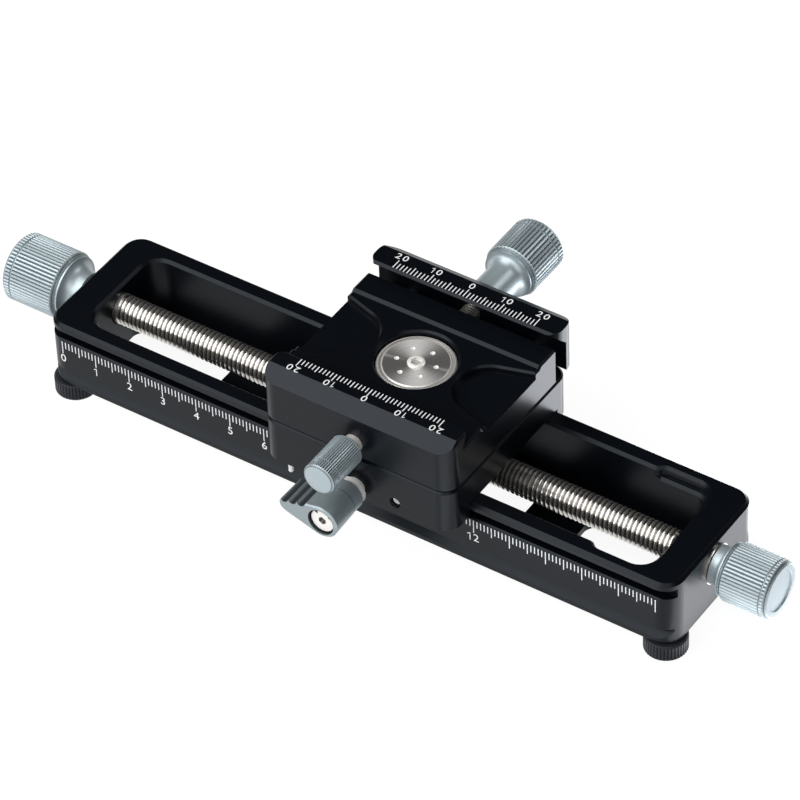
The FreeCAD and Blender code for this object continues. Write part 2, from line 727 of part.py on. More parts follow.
def clamp_section():
    """Cross-section of the clamp base: seat strips, sunk middle and the fixed dovetail jaw."""
    seat_low = SEAT_TOP - SEAT_STEP
    strip = SEAT_GAP_WIDTH / 2
    lip_low = JAW_TOP - FIXED_LIP_HEIGHT
    lip_run = FIXED_LIP - FIXED_LIP_ROOT
    return outline(in_section(CARRIAGE_SPAN[0]),
                   (CARRIAGE_FRONT, CLAMP_BOTTOM),
                   (CLAMP_REAR, CLAMP_BOTTOM),
                   (CLAMP_REAR, SEAT_TOP),
                   (PIVOT_Y + strip, SEAT_TOP),
                   (PIVOT_Y + strip - SEAT_STEP, seat_low),
                   (PIVOT_Y - strip + SEAT_STEP, seat_low),
                   (PIVOT_Y - strip, SEAT_TOP),
                   (FIXED_LIP_ROOT, SEAT_TOP),
                   (FIXED_LIP_ROOT, lip_low - lip_run),
                   (FIXED_LIP, lip_low),
                   (FIXED_LIP, JAW_TOP - LIP_CHAMFER),
                   (FIXED_LIP - LIP_CHAMFER, JAW_TOP),
                   (FIXED_CREST, JAW_TOP),
                   (CARRIAGE_FRONT, FIXED_SHOULDER))


def pocket_outline(side):
    """Side pocket in plan: a round inner end whose walls flare out to the side face."""
    flare = math.radians(POCKET_FLARE)
    centre = CARRIAGE_X + side * POCKET_CENTRE
    mouth = CARRIAGE_X + side * (CARRIAGE_LENGTH / 2 + PAST)
    touch_x = centre - side * POCKET_R * math.sin(flare)
    touch_y = POCKET_R * math.cos(flare)
    mouth_y = touch_y + abs(mouth - touch_x) * math.tan(flare)
    return outline(in_plan(0),
                   (mouth, PIVOT_Y - mouth_y),
                   (touch_x, PIVOT_Y - touch_y),
                   ((centre - side * POCKET_R, PIVOT_Y), (touch_x, PIVOT_Y + touch_y)),
                   (mouth, PIVOT_Y + mouth_y))


def clamp_base():
    """Upper block that pans on the carriage, with the fixed front jaw of the dovetail clamp."""
    envelope = rounded_block(CARRIAGE_SPAN, (CARRIAGE_FRONT, CLAMP_REAR), (CLAMP_BOTTOM, JAW_TOP),
                             BLOCK_CORNER_R, 0)
    envelope = envelope.makeChamfer(BLOCK_CHAMFER, level_edges(envelope, CLAMP_BOTTOM))
    section = extruded(clamp_section(), ALONG, CARRIAGE_LENGTH)
    side_tops = [edge for edge in section.Edges
                 if abs(edge.tangentAt(edge.FirstParameter).x) < TOLERANCE
                 and min(vertex.Z for vertex in edge.Vertexes) > SEAT_TOP - SEAT_STEP - TOLERANCE]
    section = section.makeChamfer(BLOCK_CHAMFER, side_tops)
    body = envelope.common(section)
    seat_low = SEAT_TOP - SEAT_STEP
    tools = []
    for side, end in zip(SIDES, CARRIAGE_SPAN):
        pocket = pocket_outline(side)
        deep = extruded(pocket, UP, SEAT_TOP)
        deep.translate(UP * POCKET_FLOOR)
        tools.append(deep)
        tools.append(flared_mouth(pocket, seat_low, BLOCK_CHAMFER))
        tools.append(corner_tool((end, FIXED_LIP), (-side, -1), LIP_CORNER_R, (SEAT_TOP, JAW_TOP + PAST)))
        tools.append(rod(App.Vector(CARRIAGE_X + side * GUIDE_PIN_SPACING / 2, GUIDE_HOLE_END, GUIDE_PIN_Z),
                         BACK, GUIDE_PIN_R + SHAFT_CLEARANCE, CLAMP_REAR))
    pivot = App.Vector(CARRIAGE_X, PIVOT_Y, DISC_RECESS_FLOOR)
    tools.append(rod(pivot, UP, DISC_RECESS_R, SEAT_TOP))
    tools.append(rod(pivot - UP * SEAT_TOP, UP, PIVOT_SHANK_R + SHAFT_CLEARANCE, 2 * SEAT_TOP))
    mouth = Part.makeCone(DISC_RECESS_R, DISC_RECESS_R + 2 * BLOCK_CHAMFER, 2 * BLOCK_CHAMFER,
                          App.Vector(CARRIAGE_X, PIVOT_Y, seat_low - BLOCK_CHAMFER), UP)
    tools.append(mouth)
    tools.append(rod(App.Vector(CARRIAGE_X, CLAMP_SCREW_HOLE_END, CLAMP_SCREW_Z), BACK,
                     CLAMP_SCREW_R + SHAFT_CLEARANCE, CLAMP_REAR))
    stud_mouth = App.Vector(CARRIAGE_X, CARRIAGE_FRONT, PAN_LOCK_Z)
    tools.append(rod(stud_mouth, BACK, PAN_STUD_R + SHAFT_CLEARANCE,
                     PAN_STUD_TIP + TURNING_GAP - CARRIAGE_FRONT))
    tools.append(rod(stud_mouth, BACK, PAN_PAD_R, PIVOT_Y - CARRIAGE_FRONT))
    for tool in tools:
        body = body.cut(tool)
    return body


def movable_jaw():
    """Sliding rear jaw of the dovetail clamp."""
    lip_root = JAW_LIP_EDGE - (JAW_INNER - JAW_LIP)
    profile = outline(in_section(CARRIAGE_SPAN[0]),
                      (JAW_INNER, JAW_BOTTOM),
                      (JAW_OUTER, JAW_BOTTOM),
                      (JAW_OUTER, JAW_SHOULDER_Z),
                      (JAW_SHOULDER_Y, JAW_TOP),
                      (JAW_LIP + JAW_LIP_CHAMFER, JAW_TOP),
                      (JAW_LIP, JAW_TOP - JAW_LIP_CHAMFER),
                      (JAW_LIP, JAW_LIP_EDGE),
                      (JAW_INNER, lip_root))
    body = extruded(profile, ALONG, CARRIAGE_LENGTH)
    for side, end in zip(SIDES, CARRIAGE_SPAN):
        body = body.cut(corner_tool((end, JAW_OUTER), (-side, -1), BLOCK_CORNER_R,
                                    (JAW_BOTTOM - PAST, JAW_TOP + PAST)))
        body = body.cut(corner_tool((end, JAW_LIP), (-side, 1), JAW_LIP_CORNER_R,
                                    (JAW_BOTTOM - PAST, JAW_TOP + PAST)))
        body = body.cut(rod(App.Vector(CARRIAGE_X + side * GUIDE_PIN_SPACING / 2, JAW_LIP, GUIDE_PIN_Z),
                            BACK, GUIDE_PIN_R, GUIDE_PIN_END - JAW_LIP))
    return body.cut(rod(App.Vector(CARRIAGE_X, JAW_LIP, CLAMP_SCREW_Z), BACK,
                        CLAMP_SCREW_R + SHAFT_CLEARANCE, JAW_OUTER))


def guide_pins():
    """Two pins pressed into the sliding jaw; they keep it square to the clamp base."""
    return Part.makeCompound([rod(App.Vector(CARRIAGE_X + side * GUIDE_PIN_SPACING / 2, GUIDE_PIN_TIP,
                                             GUIDE_PIN_Z), BACK, GUIDE_PIN_R, GUIDE_PIN_END - GUIDE_PIN_TIP)
                              for side in SIDES])


def clamp_washer():
    """Washer between the sliding jaw and the clamp knob."""
    bore = CLAMP_SCREW_R + SHAFT_CLEARANCE
    shape = turned((bore, 0), (WASHER_R, 0), (WASHER_R, WASHER_THICKNESS), (bore, WASHER_THICKNESS))
    return aimed(shape, App.Vector(CARRIAGE_X, JAW_OUTER, CLAMP_SCREW_Z), BACK)


def clamp_knob_start():
    """Y where the clamp knob's neck begins."""
    return JAW_OUTER + WASHER_THICKNESS + SLIDE_CLEARANCE


def clamp_knob():
    """Knob that draws the sliding jaw in."""
    shape = knob(CLAMP_NECK_R, CLAMP_FLARE_FROM, CLAMP_RIM_R, CLAMP_RIM_FROM, CLAMP_RIM_TO, CLAMP_DRUM_R,
                 CLAMP_DRUM_FROM, CLAMP_KNOB_LENGTH, CLAMP_CHAMFER, CLAMP_RING, CLAMP_RECESS_R, CLAMP_SCREW_R)
    return aimed(shape, App.Vector(CARRIAGE_X, clamp_knob_start(), CLAMP_SCREW_Z), BACK)


def clamp_screw():
    """Screw from the clamp knob through the sliding jaw into the clamp base."""
    return rod(App.Vector(CARRIAGE_X, CLAMP_SCREW_TIP, CLAMP_SCREW_Z), BACK, CLAMP_SCREW_R,
               clamp_knob_start() + KNOB_GRIP - CLAMP_SCREW_TIP)


# ---------------------------------------------------------------- pan lock

def pan_lock_knob():
    """Small knurled drum on the pan lock's stud."""
    ring_at = PAN_DRUM_LENGTH - PAN_RING
    shape = turned((PAN_STUD_R, 0),
                   (PAN_DRUM_R - PAN_DRUM_CHAMFER, 0),
                   (PAN_DRUM_R, PAN_DRUM_CHAMFER),
                   (PAN_DRUM_R, ring_at - KNOB_RING_HALF),
                   (PAN_DRUM_R - KNOB_RING_DEPTH, ring_at),
                   (PAN_DRUM_R, ring_at + KNOB_RING_HALF),
                   (PAN_DRUM_R, PAN_DRUM_LENGTH - PAN_DRUM_CHAMFER),
                   (PAN_DRUM_R - PAN_DRUM_CHAMFER, PAN_DRUM_LENGTH),
                   (0, PAN_DRUM_LENGTH),
                   (0, PAN_GRIP),
                   (PAN_STUD_R, PAN_GRIP))
    return aimed(shape, App.Vector(CARRIAGE_X, PAN_KNOB_START, PAN_LOCK_Z), FRONT)


def pan_lock_stud():
    """Steel stud of the pan lock."""
    return rod(App.Vector(CARRIAGE_X, PAN_STUD_TIP, PAN_LOCK_Z), FRONT, PAN_STUD_R,
               PAN_STUD_TIP - PAN_KNOB_START + PAN_GRIP)


def pan_lock_pad():
    """Brass pad that the pan lock presses on the pivot's shank."""
    outer = PAN_STUD_TIP + TURNING_GAP
    inner = PIVOT_Y - PIVOT_SHANK_R - THRUST_GAP
    return rod(App.Vector(CARRIAGE_X, outer, PAN_LOCK_Z), BACK, PAN_PAD_R, inner - outer)


# ---------------------------------------------------------------- travel lock

def lever_blade(radius, tip_radius, y):
    """Teardrop outline round the boss and the lever's tip, as a wire at one depth."""
    reach = math.hypot(LEVER_TIP_X, LEVER_TIP_Z)
    heading = math.atan2(LEVER_TIP_Z, LEVER_TIP_X)
    spread = math.acos((radius - tip_radius) / reach)

    def on_circle(x, z, r, angle):
        return (x + r * math.cos(angle), z + r * math.sin(angle))

    tip = (CARRIAGE_X + LEVER_TIP_X, LOCK_Z + LEVER_TIP_Z)
    boss = (CARRIAGE_X, LOCK_Z)
    return outline(in_front_view(y),
                   on_circle(*boss, radius, heading + spread),
                   on_circle(*tip, tip_radius, heading + spread),
                   (on_circle(*tip, tip_radius, heading), on_circle(*tip, tip_radius, heading - spread)),
                   on_circle(*boss, radius, heading - spread),
                   (on_circle(*boss, radius, heading + math.pi), on_circle(*boss, radius, heading + spread)))


def lever_flute_centres():
    """Flute centres from the lever's axis: a row along the upper straight edge, starting at the tip."""
    reach = math.hypot(LEVER_TIP_X, LEVER_TIP_Z)
    heading = math.atan2(LEVER_TIP_Z, LEVER_TIP_X)
    outward = heading - math.acos((LEVER_BOSS_R - LEVER_TIP_R) / reach)
    homeward = outward - math.pi / 2
    stand_off = LEVER_TIP_R + LEVER_FLUTE_R - LEVER_FLUTE_DEPTH
    first_x = LEVER_TIP_X + stand_off * math.cos(outward)
    first_z = LEVER_TIP_Z + stand_off * math.sin(outward)
    steps = [index * LEVER_FLUTE_PITCH for index in range(LEVER_FLUTES)]
    return [(first_x + step * math.cos(homeward), first_z + step * math.sin(homeward)) for step in steps]


def lock_lever():
    """Drafted teardrop lever with finger flutes and a counterbore for its screw."""
    inner = lever_blade(LEVER_BOSS_R - LEVER_DRAFT, LEVER_TIP_R - LEVER_DRAFT / 2, LEVER_START)
    outer = lever_blade(LEVER_BOSS_R, LEVER_TIP_R, LEVER_END)
    body = Part.makeLoft([inner, outer], True, True)
    rims = [edge for edge in body.Edges
            if all(abs(vertex.Y - LEVER_END) < TOLERANCE for vertex in edge.Vertexes)]
    body = body.makeChamfer(LEVER_CHAMFER, rims)
    length = LEVER_START - LEVER_END
    boss = App.Vector(CARRIAGE_X, LEVER_END, LOCK_Z)
    body = body.cut(rod(boss, BACK, LEVER_RECESS_R, LEVER_RECESS))
    body = body.cut(rod(boss, BACK, LOCK_SCREW_R, length))
    for centre_x, centre_z in lever_flute_centres():
        body = body.cut(rod(App.Vector(CARRIAGE_X + centre_x, LEVER_END - PAST, LOCK_Z + centre_z), BACK,
                            LEVER_FLUTE_R, length + 2 * PAST))
    return body


def lock_hub():
    """Plain collar between the carriage face and the lever."""
    shape = turned((LOCK_STUD_R, 0), (LOCK_HUB_R, 0), (LOCK_HUB_R, LOCK_HUB_START - LOCK_HUB_END),
                   (LOCK_STUD_R, LOCK_HUB_START - LOCK_HUB_END))
    return aimed(shape, App.Vector(CARRIAGE_X, LOCK_HUB_START, LOCK_Z), FRONT)


def lock_stud():
    """Collared stud that presses on the gib strip; the lever's screw goes into its outer end."""
    inner = GIB_BACK - TURNING_GAP
    stud = rod(App.Vector(CARRIAGE_X, inner, LOCK_Z), FRONT, LOCK_STUD_R, inner - LOCK_HUB_END)
    collar = rod(App.Vector(CARRIAGE_X, LOCK_HUB_START, LOCK_Z), BACK, LOCK_COLLAR_R, LOCK_COLLAR)
    return common_fused([stud, collar]).cut(lock_screw())


def lock_screw():
    """Socket screw that holds the lever on its stud."""
    head_top = LEVER_END + LEVER_RECESS - LOCK_SCREW_HEAD
    shape = turned((0, 0), (LOCK_SCREW_HEAD_R, 0), (LOCK_SCREW_HEAD_R, LOCK_SCREW_HEAD),
                   (LOCK_SCREW_R, LOCK_SCREW_HEAD), (LOCK_SCREW_R, LOCK_SCREW_LENGTH), (0, LOCK_SCREW_LENGTH))
    shape = shape.cut(hex_socket(App.Vector(0, 0, 0), UP, LOCK_SOCKET, LOCK_SOCKET_DEPTH))
    return aimed(shape, App.Vector(CARRIAGE_X, head_top, LOCK_Z), BACK)


# ---------------------------------------------------------------- feet

def foot(side_x, side_y):
    """Thumb-screw foot with its stud in the rail's underside."""
    shape = turned((0, FOOT_BOTTOM),
                   (FOOT_R - FOOT_CHAMFER, FOOT_BOTTOM),
                   (FOOT_R, FOOT_BOTTOM + FOOT_CHAMFER),
                   (FOOT_R, FOOT_TOP - FOOT_CHAMFER),
                   (FOOT_R - FOOT_CHAMFER, FOOT_TOP),
                   (FOOT_STUD_R, FOOT_TOP),
                   (FOOT_STUD_R, FOOT_STUD_TOP),
                   (0, FOOT_STUD_TOP))
    return aimed(shape, App.Vector(side_x * FOOT_X, side_y * FOOT_Y, 0), UP)


def build():
    """Write one STEP file for each piece."""
    pieces = {
        "rail_frame": rail_frame(),
        "bush_left": bush(-1),
        "bush_right": bush(1),
        "lead_screw": lead_screw(),
        "left_knob": left_knob(),
        "right_knob": right_knob(),
        "carriage_body": carriage_body(),
        "drive_nut": drive_nut(),
        "nut_screws": nut_screws(),
        "gib_strip": gib_strip(),
        "gib_set_screws": gib_set_screws(),
        "index_pin": index_pin(),
        "pivot_disc": pivot_disc(),
        "pivot_screw": pivot_screw(),
        "clamp_base": clamp_base(),
        "movable_jaw": movable_jaw(),
        "guide_pins": guide_pins(),
        "clamp_washer": clamp_washer(),
        "clamp_knob": clamp_knob(),
        "clamp_screw": clamp_screw(),
        "pan_lock_knob": pan_lock_knob(),
        "pan_lock_stud": pan_lock_stud(),
        "pan_lock_pad": pan_lock_pad(),
        "lock_lever": lock_lever(),
        "lock_hub": lock_hub(),
        "lock_stud": lock_stud(),
        "lock_screw": lock_screw(),
        "foot_front_left": foot(-1, -1),
        "foot_front_right": foot(1, -1),
        "foot_rear_left": foot(-1, 1),
        "foot_rear_right": foot(1, 1),
    }
    os.makedirs("parts", exist_ok=True)
    for name, shape in pieces.items():
        shape.exportStep(f"parts/{name}.step")


build()
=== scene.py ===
"""Dresses the macro focusing rail: threads, knurling, scales, finishes and a plain studio."""

import json
import math

import bmesh
import bpy
from mathutils import Matrix, Vector


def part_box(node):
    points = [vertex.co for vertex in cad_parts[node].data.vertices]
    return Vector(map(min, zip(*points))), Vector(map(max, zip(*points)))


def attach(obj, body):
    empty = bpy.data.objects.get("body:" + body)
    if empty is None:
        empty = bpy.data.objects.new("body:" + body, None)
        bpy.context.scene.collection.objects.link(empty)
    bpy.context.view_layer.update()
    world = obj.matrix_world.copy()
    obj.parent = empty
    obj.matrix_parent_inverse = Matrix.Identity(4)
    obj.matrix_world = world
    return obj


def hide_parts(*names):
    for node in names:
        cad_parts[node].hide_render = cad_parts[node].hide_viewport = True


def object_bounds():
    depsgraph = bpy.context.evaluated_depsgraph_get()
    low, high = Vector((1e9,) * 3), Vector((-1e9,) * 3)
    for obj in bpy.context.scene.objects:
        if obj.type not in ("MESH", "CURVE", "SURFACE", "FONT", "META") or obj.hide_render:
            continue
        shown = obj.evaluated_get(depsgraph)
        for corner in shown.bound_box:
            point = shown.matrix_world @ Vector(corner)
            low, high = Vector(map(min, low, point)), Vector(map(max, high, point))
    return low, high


bl_info = {
    "name": "Macro focusing rail",
    "version": (1, 0, 0),
    "blender": (4, 5, 0),
    "location": "View3D > Sidebar > Rail",
    "description": "Threads, knurls, scales and finishes for a macro focusing rail",
    "category": "Object",
}

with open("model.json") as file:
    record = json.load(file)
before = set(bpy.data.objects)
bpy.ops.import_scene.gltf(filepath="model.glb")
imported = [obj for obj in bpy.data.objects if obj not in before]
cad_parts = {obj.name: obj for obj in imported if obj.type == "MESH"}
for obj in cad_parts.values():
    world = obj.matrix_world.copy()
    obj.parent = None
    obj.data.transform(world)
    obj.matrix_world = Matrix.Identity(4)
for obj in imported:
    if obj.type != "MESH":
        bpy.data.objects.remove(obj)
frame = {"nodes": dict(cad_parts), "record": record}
CAD_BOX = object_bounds()

MM = 0.001
MERGE = 1e-7
ORIGIN = Vector((0, 0, 0))
SMOOTH_ANGLE = math.radians(32)


def middle(node):
    """Centre of a node's box."""
    low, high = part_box(node)
    return (low + high) / 2


# ---------------- settings

class RailThreads(bpy.types.PropertyGroup):
    """Threads that show."""
    lead_pitch: bpy.props.FloatProperty(
        name="Lead screw pitch", description="Travel of the carriage for one turn",
        default=1.25 * MM, unit="LENGTH", precision=5)
    lead_depth: bpy.props.FloatProperty(
        name="Lead thread depth", description="From crest to root", default=0.72 * MM,
        unit="LENGTH", precision=5)
    clamp_pitch: bpy.props.FloatProperty(
        name="Clamp screw pitch", description="Travel of the jaw for one turn",
        default=0.8 * MM, unit="LENGTH", precision=5)
    clamp_depth: bpy.props.FloatProperty(
        name="Clamp thread depth", description="From crest to root", default=0.46 * MM,
        unit="LENGTH", precision=5)


class RailKnurls(bpy.types.PropertyGroup):
    """Straight knurling on the knobs and feet."""
    left_flutes: bpy.props.IntProperty(
        name="Large knob", description="Flutes round the large end knob", default=58, min=8)
    right_flutes: bpy.props.IntProperty(
        name="Small knob", description="Flutes round the small end knob", default=50, min=8)
    clamp_flutes: bpy.props.IntProperty(
        name="Clamp knob", description="Flutes round the clamp knob", default=44, min=8)
    pan_flutes: bpy.props.IntProperty(
        name="Pan lock knob", description="Flutes round the pan lock knob", default=44, min=8)
    foot_flutes: bpy.props.IntProperty(
        name="Feet", description="Flutes round each foot", default=40, min=8)
    depth: bpy.props.FloatProperty(
        name="Knurl depth", description="Depth of a flute on the large knobs", default=0.44 * MM,
        unit="LENGTH", precision=5)


class RailScales(bpy.types.PropertyGroup):
    """Printed scales."""
    ink: bpy.props.FloatProperty(
        name="Ink thickness", description="How far the print stands on its face", default=0.004 * MM,
        unit="LENGTH", precision=6)
    line: bpy.props.FloatProperty(
        name="Line width", description="Width of a scale line", default=0.26 * MM,
        unit="LENGTH", precision=5)
    rail_digit: bpy.props.FloatProperty(
        name="Rail numbers", description="Height of the rail's numbers", default=2.4 * MM,
        unit="LENGTH", precision=5)
    jaw_digit: bpy.props.FloatProperty(
        name="Jaw numbers", description="Height of the jaws' numbers", default=1.95 * MM,
        unit="LENGTH", precision=5)
    length: bpy.props.IntProperty(
        name="Rail scale", description="Last line of the rail's scale, in millimetres", default=170)
    last_number: bpy.props.IntProperty(
        name="Last number", description="Last number of the rail's scale, in centimetres", default=12)


class RailFinishes(bpy.types.PropertyGroup):
    """Colours of the finishes."""
    body: bpy.props.FloatVectorProperty(
        name="Body", description="Blasted anodised body", subtype="COLOR", size=3, min=0, max=1,
        default=(0.002, 0.0028, 0.0045))
    knob: bpy.props.FloatVectorProperty(
        name="Knobs", description="Turned anodised knobs and lever", subtype="COLOR", size=3, min=0, max=1,
        default=(0.41, 0.48, 0.508))
    steel: bpy.props.FloatVectorProperty(
        name="Steel", description="Stainless screws and studs", subtype="COLOR", size=3, min=0, max=1,
        default=(0.78, 0.755, 0.72))
    # Bearing of the painted fan: a painted reflection on the pivot disc.
    fan: bpy.props.FloatProperty(
        name="Disc fan", description="Bearing of the bright fan on the pivot disc", subtype="ANGLE",
        default=math.radians(125))
    brass: bpy.props.FloatVectorProperty(
        name="Brass", description="Nut, gib strip and pad", subtype="COLOR", size=3, min=0, max=1,
        default=(0.72, 0.53, 0.24))
    ink: bpy.props.FloatVectorProperty(
        name="Ink", description="Scale print and reading pin", subtype="COLOR", size=3, min=0, max=1,
        default=(0.86, 0.87, 0.88))
    foot: bpy.props.FloatVectorProperty(
        name="Feet", description="Black anodised feet", subtype="COLOR", size=3, min=0, max=1,
        default=(0.018, 0.019, 0.022))


class RailStudio(bpy.types.PropertyGroup):
    """Camera, floor and lamps."""
    lens: bpy.props.FloatProperty(
        name="Lens", description="Focal length", default=228.6, subtype="DISTANCE_CAMERA")
    azimuth: bpy.props.FloatProperty(
        name="Azimuth", description="Camera's turn about the rail", default=math.radians(35.14),
        subtype="ANGLE")
    elevation: bpy.props.FloatProperty(
        name="Elevation", description="Camera's height angle", default=math.radians(42.65), subtype="ANGLE")
    roll: bpy.props.FloatProperty(
        name="Roll", description="Camera's tilt", default=math.radians(-2.36), subtype="ANGLE")
    distance: bpy.props.FloatProperty(
        name="Distance", description="Camera to target", default=1.21302, unit="LENGTH")
    target: bpy.props.FloatVectorProperty(
        name="Target", description="Point the camera looks at", default=(0.00202, 0, 0.0214),
        subtype="TRANSLATION", size=3, precision=5)
    floor: bpy.props.FloatVectorProperty(
        name="Floor", description="Floor colour", subtype="COLOR", size=3, min=0, max=1,
        default=(0.46, 0.49, 0.53))
    world: bpy.props.FloatProperty(
        name="World light", description="Strength of the even light from all round", default=0.022, min=0)


def settings():
    """The scene that holds the settings."""
    return bpy.context.scene


# depth of the knurling on each piece, as a share of the depth in the settings
KNURL_SHARE = {"left_knob": 1.0, "right_knob": 0.9, "clamp_knob": 1.0, "pan_lock_knob": 0.8, "foot": 0.6}


def knurl_depth(piece):
    """Depth of the flutes of a knob or a foot."""
    return settings().rail_knurls.depth * KNURL_SHARE[piece]


# ---------------- shader nodes

COLOUR_A, COLOUR_B, COLOUR_OUT = 6, 7, 2  # colour sockets of a Mix node
TINY = 1e-5  # keeps a division off zero


def sum_method(operation, reflected=False):
    """Method of a socket that adds a Math node."""
    def method(socket, *others):
        return socket.board.math(operation, *((*others, socket) if reflected else (socket, *others)))
    return method


class Socket:
    """An output socket; arithmetic on it adds Math nodes."""

    def __init__(self, board, link):
        self.board = board
        self.link = link

    __add__, __radd__ = sum_method("ADD"), sum_method("ADD", True)
    __sub__, __rsub__ = sum_method("SUBTRACT"), sum_method("SUBTRACT", True)
    __mul__, __rmul__ = sum_method("MULTIPLY"), sum_method("MULTIPLY", True)
    __truediv__, __pow__, __abs__ = sum_method("DIVIDE"), sum_method("POWER"), sum_method("ABSOLUTE")


class Board:
    """Node tree of one material."""

    def __init__(self, name):
        self.material = bpy.data.materials.new(name)
        self.material.use_nodes = True
        self.tree = self.material.node_tree
        self.tree.nodes.clear()

    def node(self, kind, options=None, sockets=None, output=0):
        """Add a node: its options are set first, then the values or links of its sockets."""
        made = self.tree.nodes.new(kind)
        for key, value in (options or {}).items():
            setattr(made, key, value)
        for key, value in (sockets or {}).items():
            if isinstance(value, Socket):
                self.tree.links.new(value.link, made.inputs[key])
            else:
                made.inputs[key].default_value = value
        return Socket(self, made.outputs[output])

    def math(self, operation, *values):
        """Sum on numbers and sockets."""
        return self.node("ShaderNodeMath", {"operation": operation}, dict(enumerate(values)))

    def vector_math(self, operation, *values, output="Value"):
        """Sum on vectors."""
        return self.node("ShaderNodeVectorMath", {"operation": operation}, dict(enumerate(values)), output)

    def place(self):
        """Object coordinates."""
        return self.node("ShaderNodeTexCoord", output="Object")

    def centred(self, centre, stretch=(1, 1, 1)):
        """Object coordinates measured from a point, stretched along the axes."""
        offset = [-c * s for c, s in zip(centre, stretch)]
        return self.node("ShaderNodeMapping", {},
                         {"Vector": self.place(), "Location": offset, "Scale": stretch})

    def noise(self, vector, scale, detail=2.0, rough=0.5):
        """Cloudy pattern; scale is its number of cells in a metre."""
        return self.node("ShaderNodeTexNoise", {},
                         {"Vector": vector, "Scale": scale, "Detail": detail, "Roughness": rough})

    def grit(self, grain):
        """Even grain of a blasted surface."""
        return self.noise(self.place(), grain, 3.0, 0.6)

    def tint(self, factor, first, second):
        """Blend of two colours, each of them a colour or a socket."""
        first, second = (paint if isinstance(paint, Socket) else (*paint, 1) for paint in (first, second))
        return self.node("ShaderNodeMix", {"data_type": "RGBA"},
                         {"Factor": factor, COLOUR_A: first, COLOUR_B: second}, output=COLOUR_OUT)

    def bump(self, height, strength, depth, **base):
        """Normal of a surface that a pattern roughens; base may hold the normal to start from."""
        return self.node("ShaderNodeBump", {},
                         {"Height": height, "Strength": strength, "Distance": depth, **base})

    def grit_normal(self, grit, **base):
        """Normal of a blasted surface."""
        return self.bump(grit, 0.35, 0.02 * MM, **base)

    def about(self, axis, centre):
        """Object coordinates from a centre, laid flat square to an axis."""
        across = [1.0, 1.0, 1.0]
        across[axis] = 0.0
        return self.vector_math("MULTIPLY", self.centred(centre), across, output=0)

    def length(self, vector):
        """Length of a vector."""
        return self.vector_math("LENGTH", vector)

    def along(self, vector, direction):
        """How far a vector reaches in a direction."""
        return self.vector_math("DOT_PRODUCT", vector, direction)

    def share(self, vector, length, bearing):
        """Cosine of the angle between a flat vector and a bearing."""
        ahead = (math.cos(bearing), math.sin(bearing), 0.0)
        return self.along(vector, ahead) / (length + TINY)

    def ramp(self, value, low, high):
        """Rises from 0 at low to 1 at high, and is held at both ends."""
        return self.node("ShaderNodeMapRange", {}, {"Value": value, "From Min": low, "From Max": high})

    def band(self, value, low, high, soft):
        """1 between low and high, falling to 0 over a soft edge on each side."""
        return self.ramp(value, low - soft, low) * (1 - self.ramp(value, high, high + soft))

    def output(self, surface):
        """Finish the material with the shader of its surface."""
        end = self.tree.nodes.new("ShaderNodeOutputMaterial")
        self.tree.links.new(surface.link, end.inputs["Surface"])
        return self.material

    def principled(self, **values):
        """Finish the material with a Principled shader; underscores in a name stand for spaces."""
        return self.output(self.node("ShaderNodeBsdfPrincipled", {},
                                     {key.replace("_", " "): value for key, value in values.items()}))


def shade(colour, factor):
    """A colour made lighter or darker."""
    return tuple(min(1.0, channel * factor) for channel in colour)


BODY_GRAIN, FINE_GRAIN = 5200.0, 6500.0  # grains of blasting in a metre
BROKEN_EDGE = 0.12 * MM
COOL_SHEEN = (0.84, 0.92, 1.0, 1.0)
# Painted shade: HOLE_SHADE is the share of colour kept where holes, notches and seams are painted dark.
HOLE_SHADE = 0.14  # how much of its colour a piece keeps down in a hole or a seam


def blasted_anodise(name, colour, grain=BODY_GRAIN, roughness=0.31, metallic=0.0, ior=1.3):
    """Bead-blasted, anodised aluminium: fine even grain, faint cloudiness, edges just broken."""
    board = Board(name)
    grit = board.grit(grain)
    cloud = board.noise(board.place(), 90.0)
    tone = grit * 0.55 + cloud * 0.45
    broken = board.node("ShaderNodeBevel", {"samples": 6}, {"Radius": BROKEN_EDGE})
    return board.principled(
        Base_Color=board.tint(tone, shade(colour, 0.82), shade(colour, 1.2)),
        Roughness=roughness - 0.05 + grit * 0.1,
        Metallic=metallic, IOR=ior, Specular_Tint=COOL_SHEEN,
        Normal=board.grit_normal(grit, Normal=broken))


def knurled_anodise(name, colour, axis, node):
    """Blasted anodise on a knob, with painted shade down in the flutes of its drum."""
    board = Board(name)
    low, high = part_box(node)
    drum, depth = (high.z - low.z) / 2, knurl_depth(node)
    radius = board.length(board.about(axis, middle(node)))
    grit = board.grit(FINE_GRAIN)
    # Painted shade: the flutes' floors are painted dark to stand in for the shade down in them.
    sunk = 1 - board.ramp(radius, drum - depth, drum - depth * 0.15)
    flute_shade = sunk * board.ramp(radius, drum - depth * 1.6, drum - depth * 1.1)
    tone = board.tint(grit, shade(colour, 0.9), shade(colour, 1.15))
    return board.principled(
        Base_Color=board.tint(flute_shade, tone, shade(colour, 0.28)),
        Roughness=0.33 + grit * 0.1,
        Metallic=0.5,
        Normal=board.grit_normal(grit))


def turned_metal(name, colour, axis, roughness, metallic=1.0):
    """Turned metal: fine rings along an axis, which is given as 0, 1 or 2."""
    smooth, fine = 60.0, 9000.0
    board = Board(name)
    stretch = [smooth, smooth, smooth]
    stretch[axis] = fine
    rings = board.noise(board.centred(ORIGIN, stretch), 1.0, 2.0, 0.7)
    smear = board.noise(board.place(), 400.0)
    tone = rings * 0.7 + smear * 0.3
    return board.principled(
        Base_Color=board.tint(tone, shade(colour, 0.86), shade(colour, 1.1)),
        Roughness=roughness - 0.05 + rings * 0.1,
        Metallic=metallic,
        Normal=board.bump(rings, 0.22, 0.01 * MM))


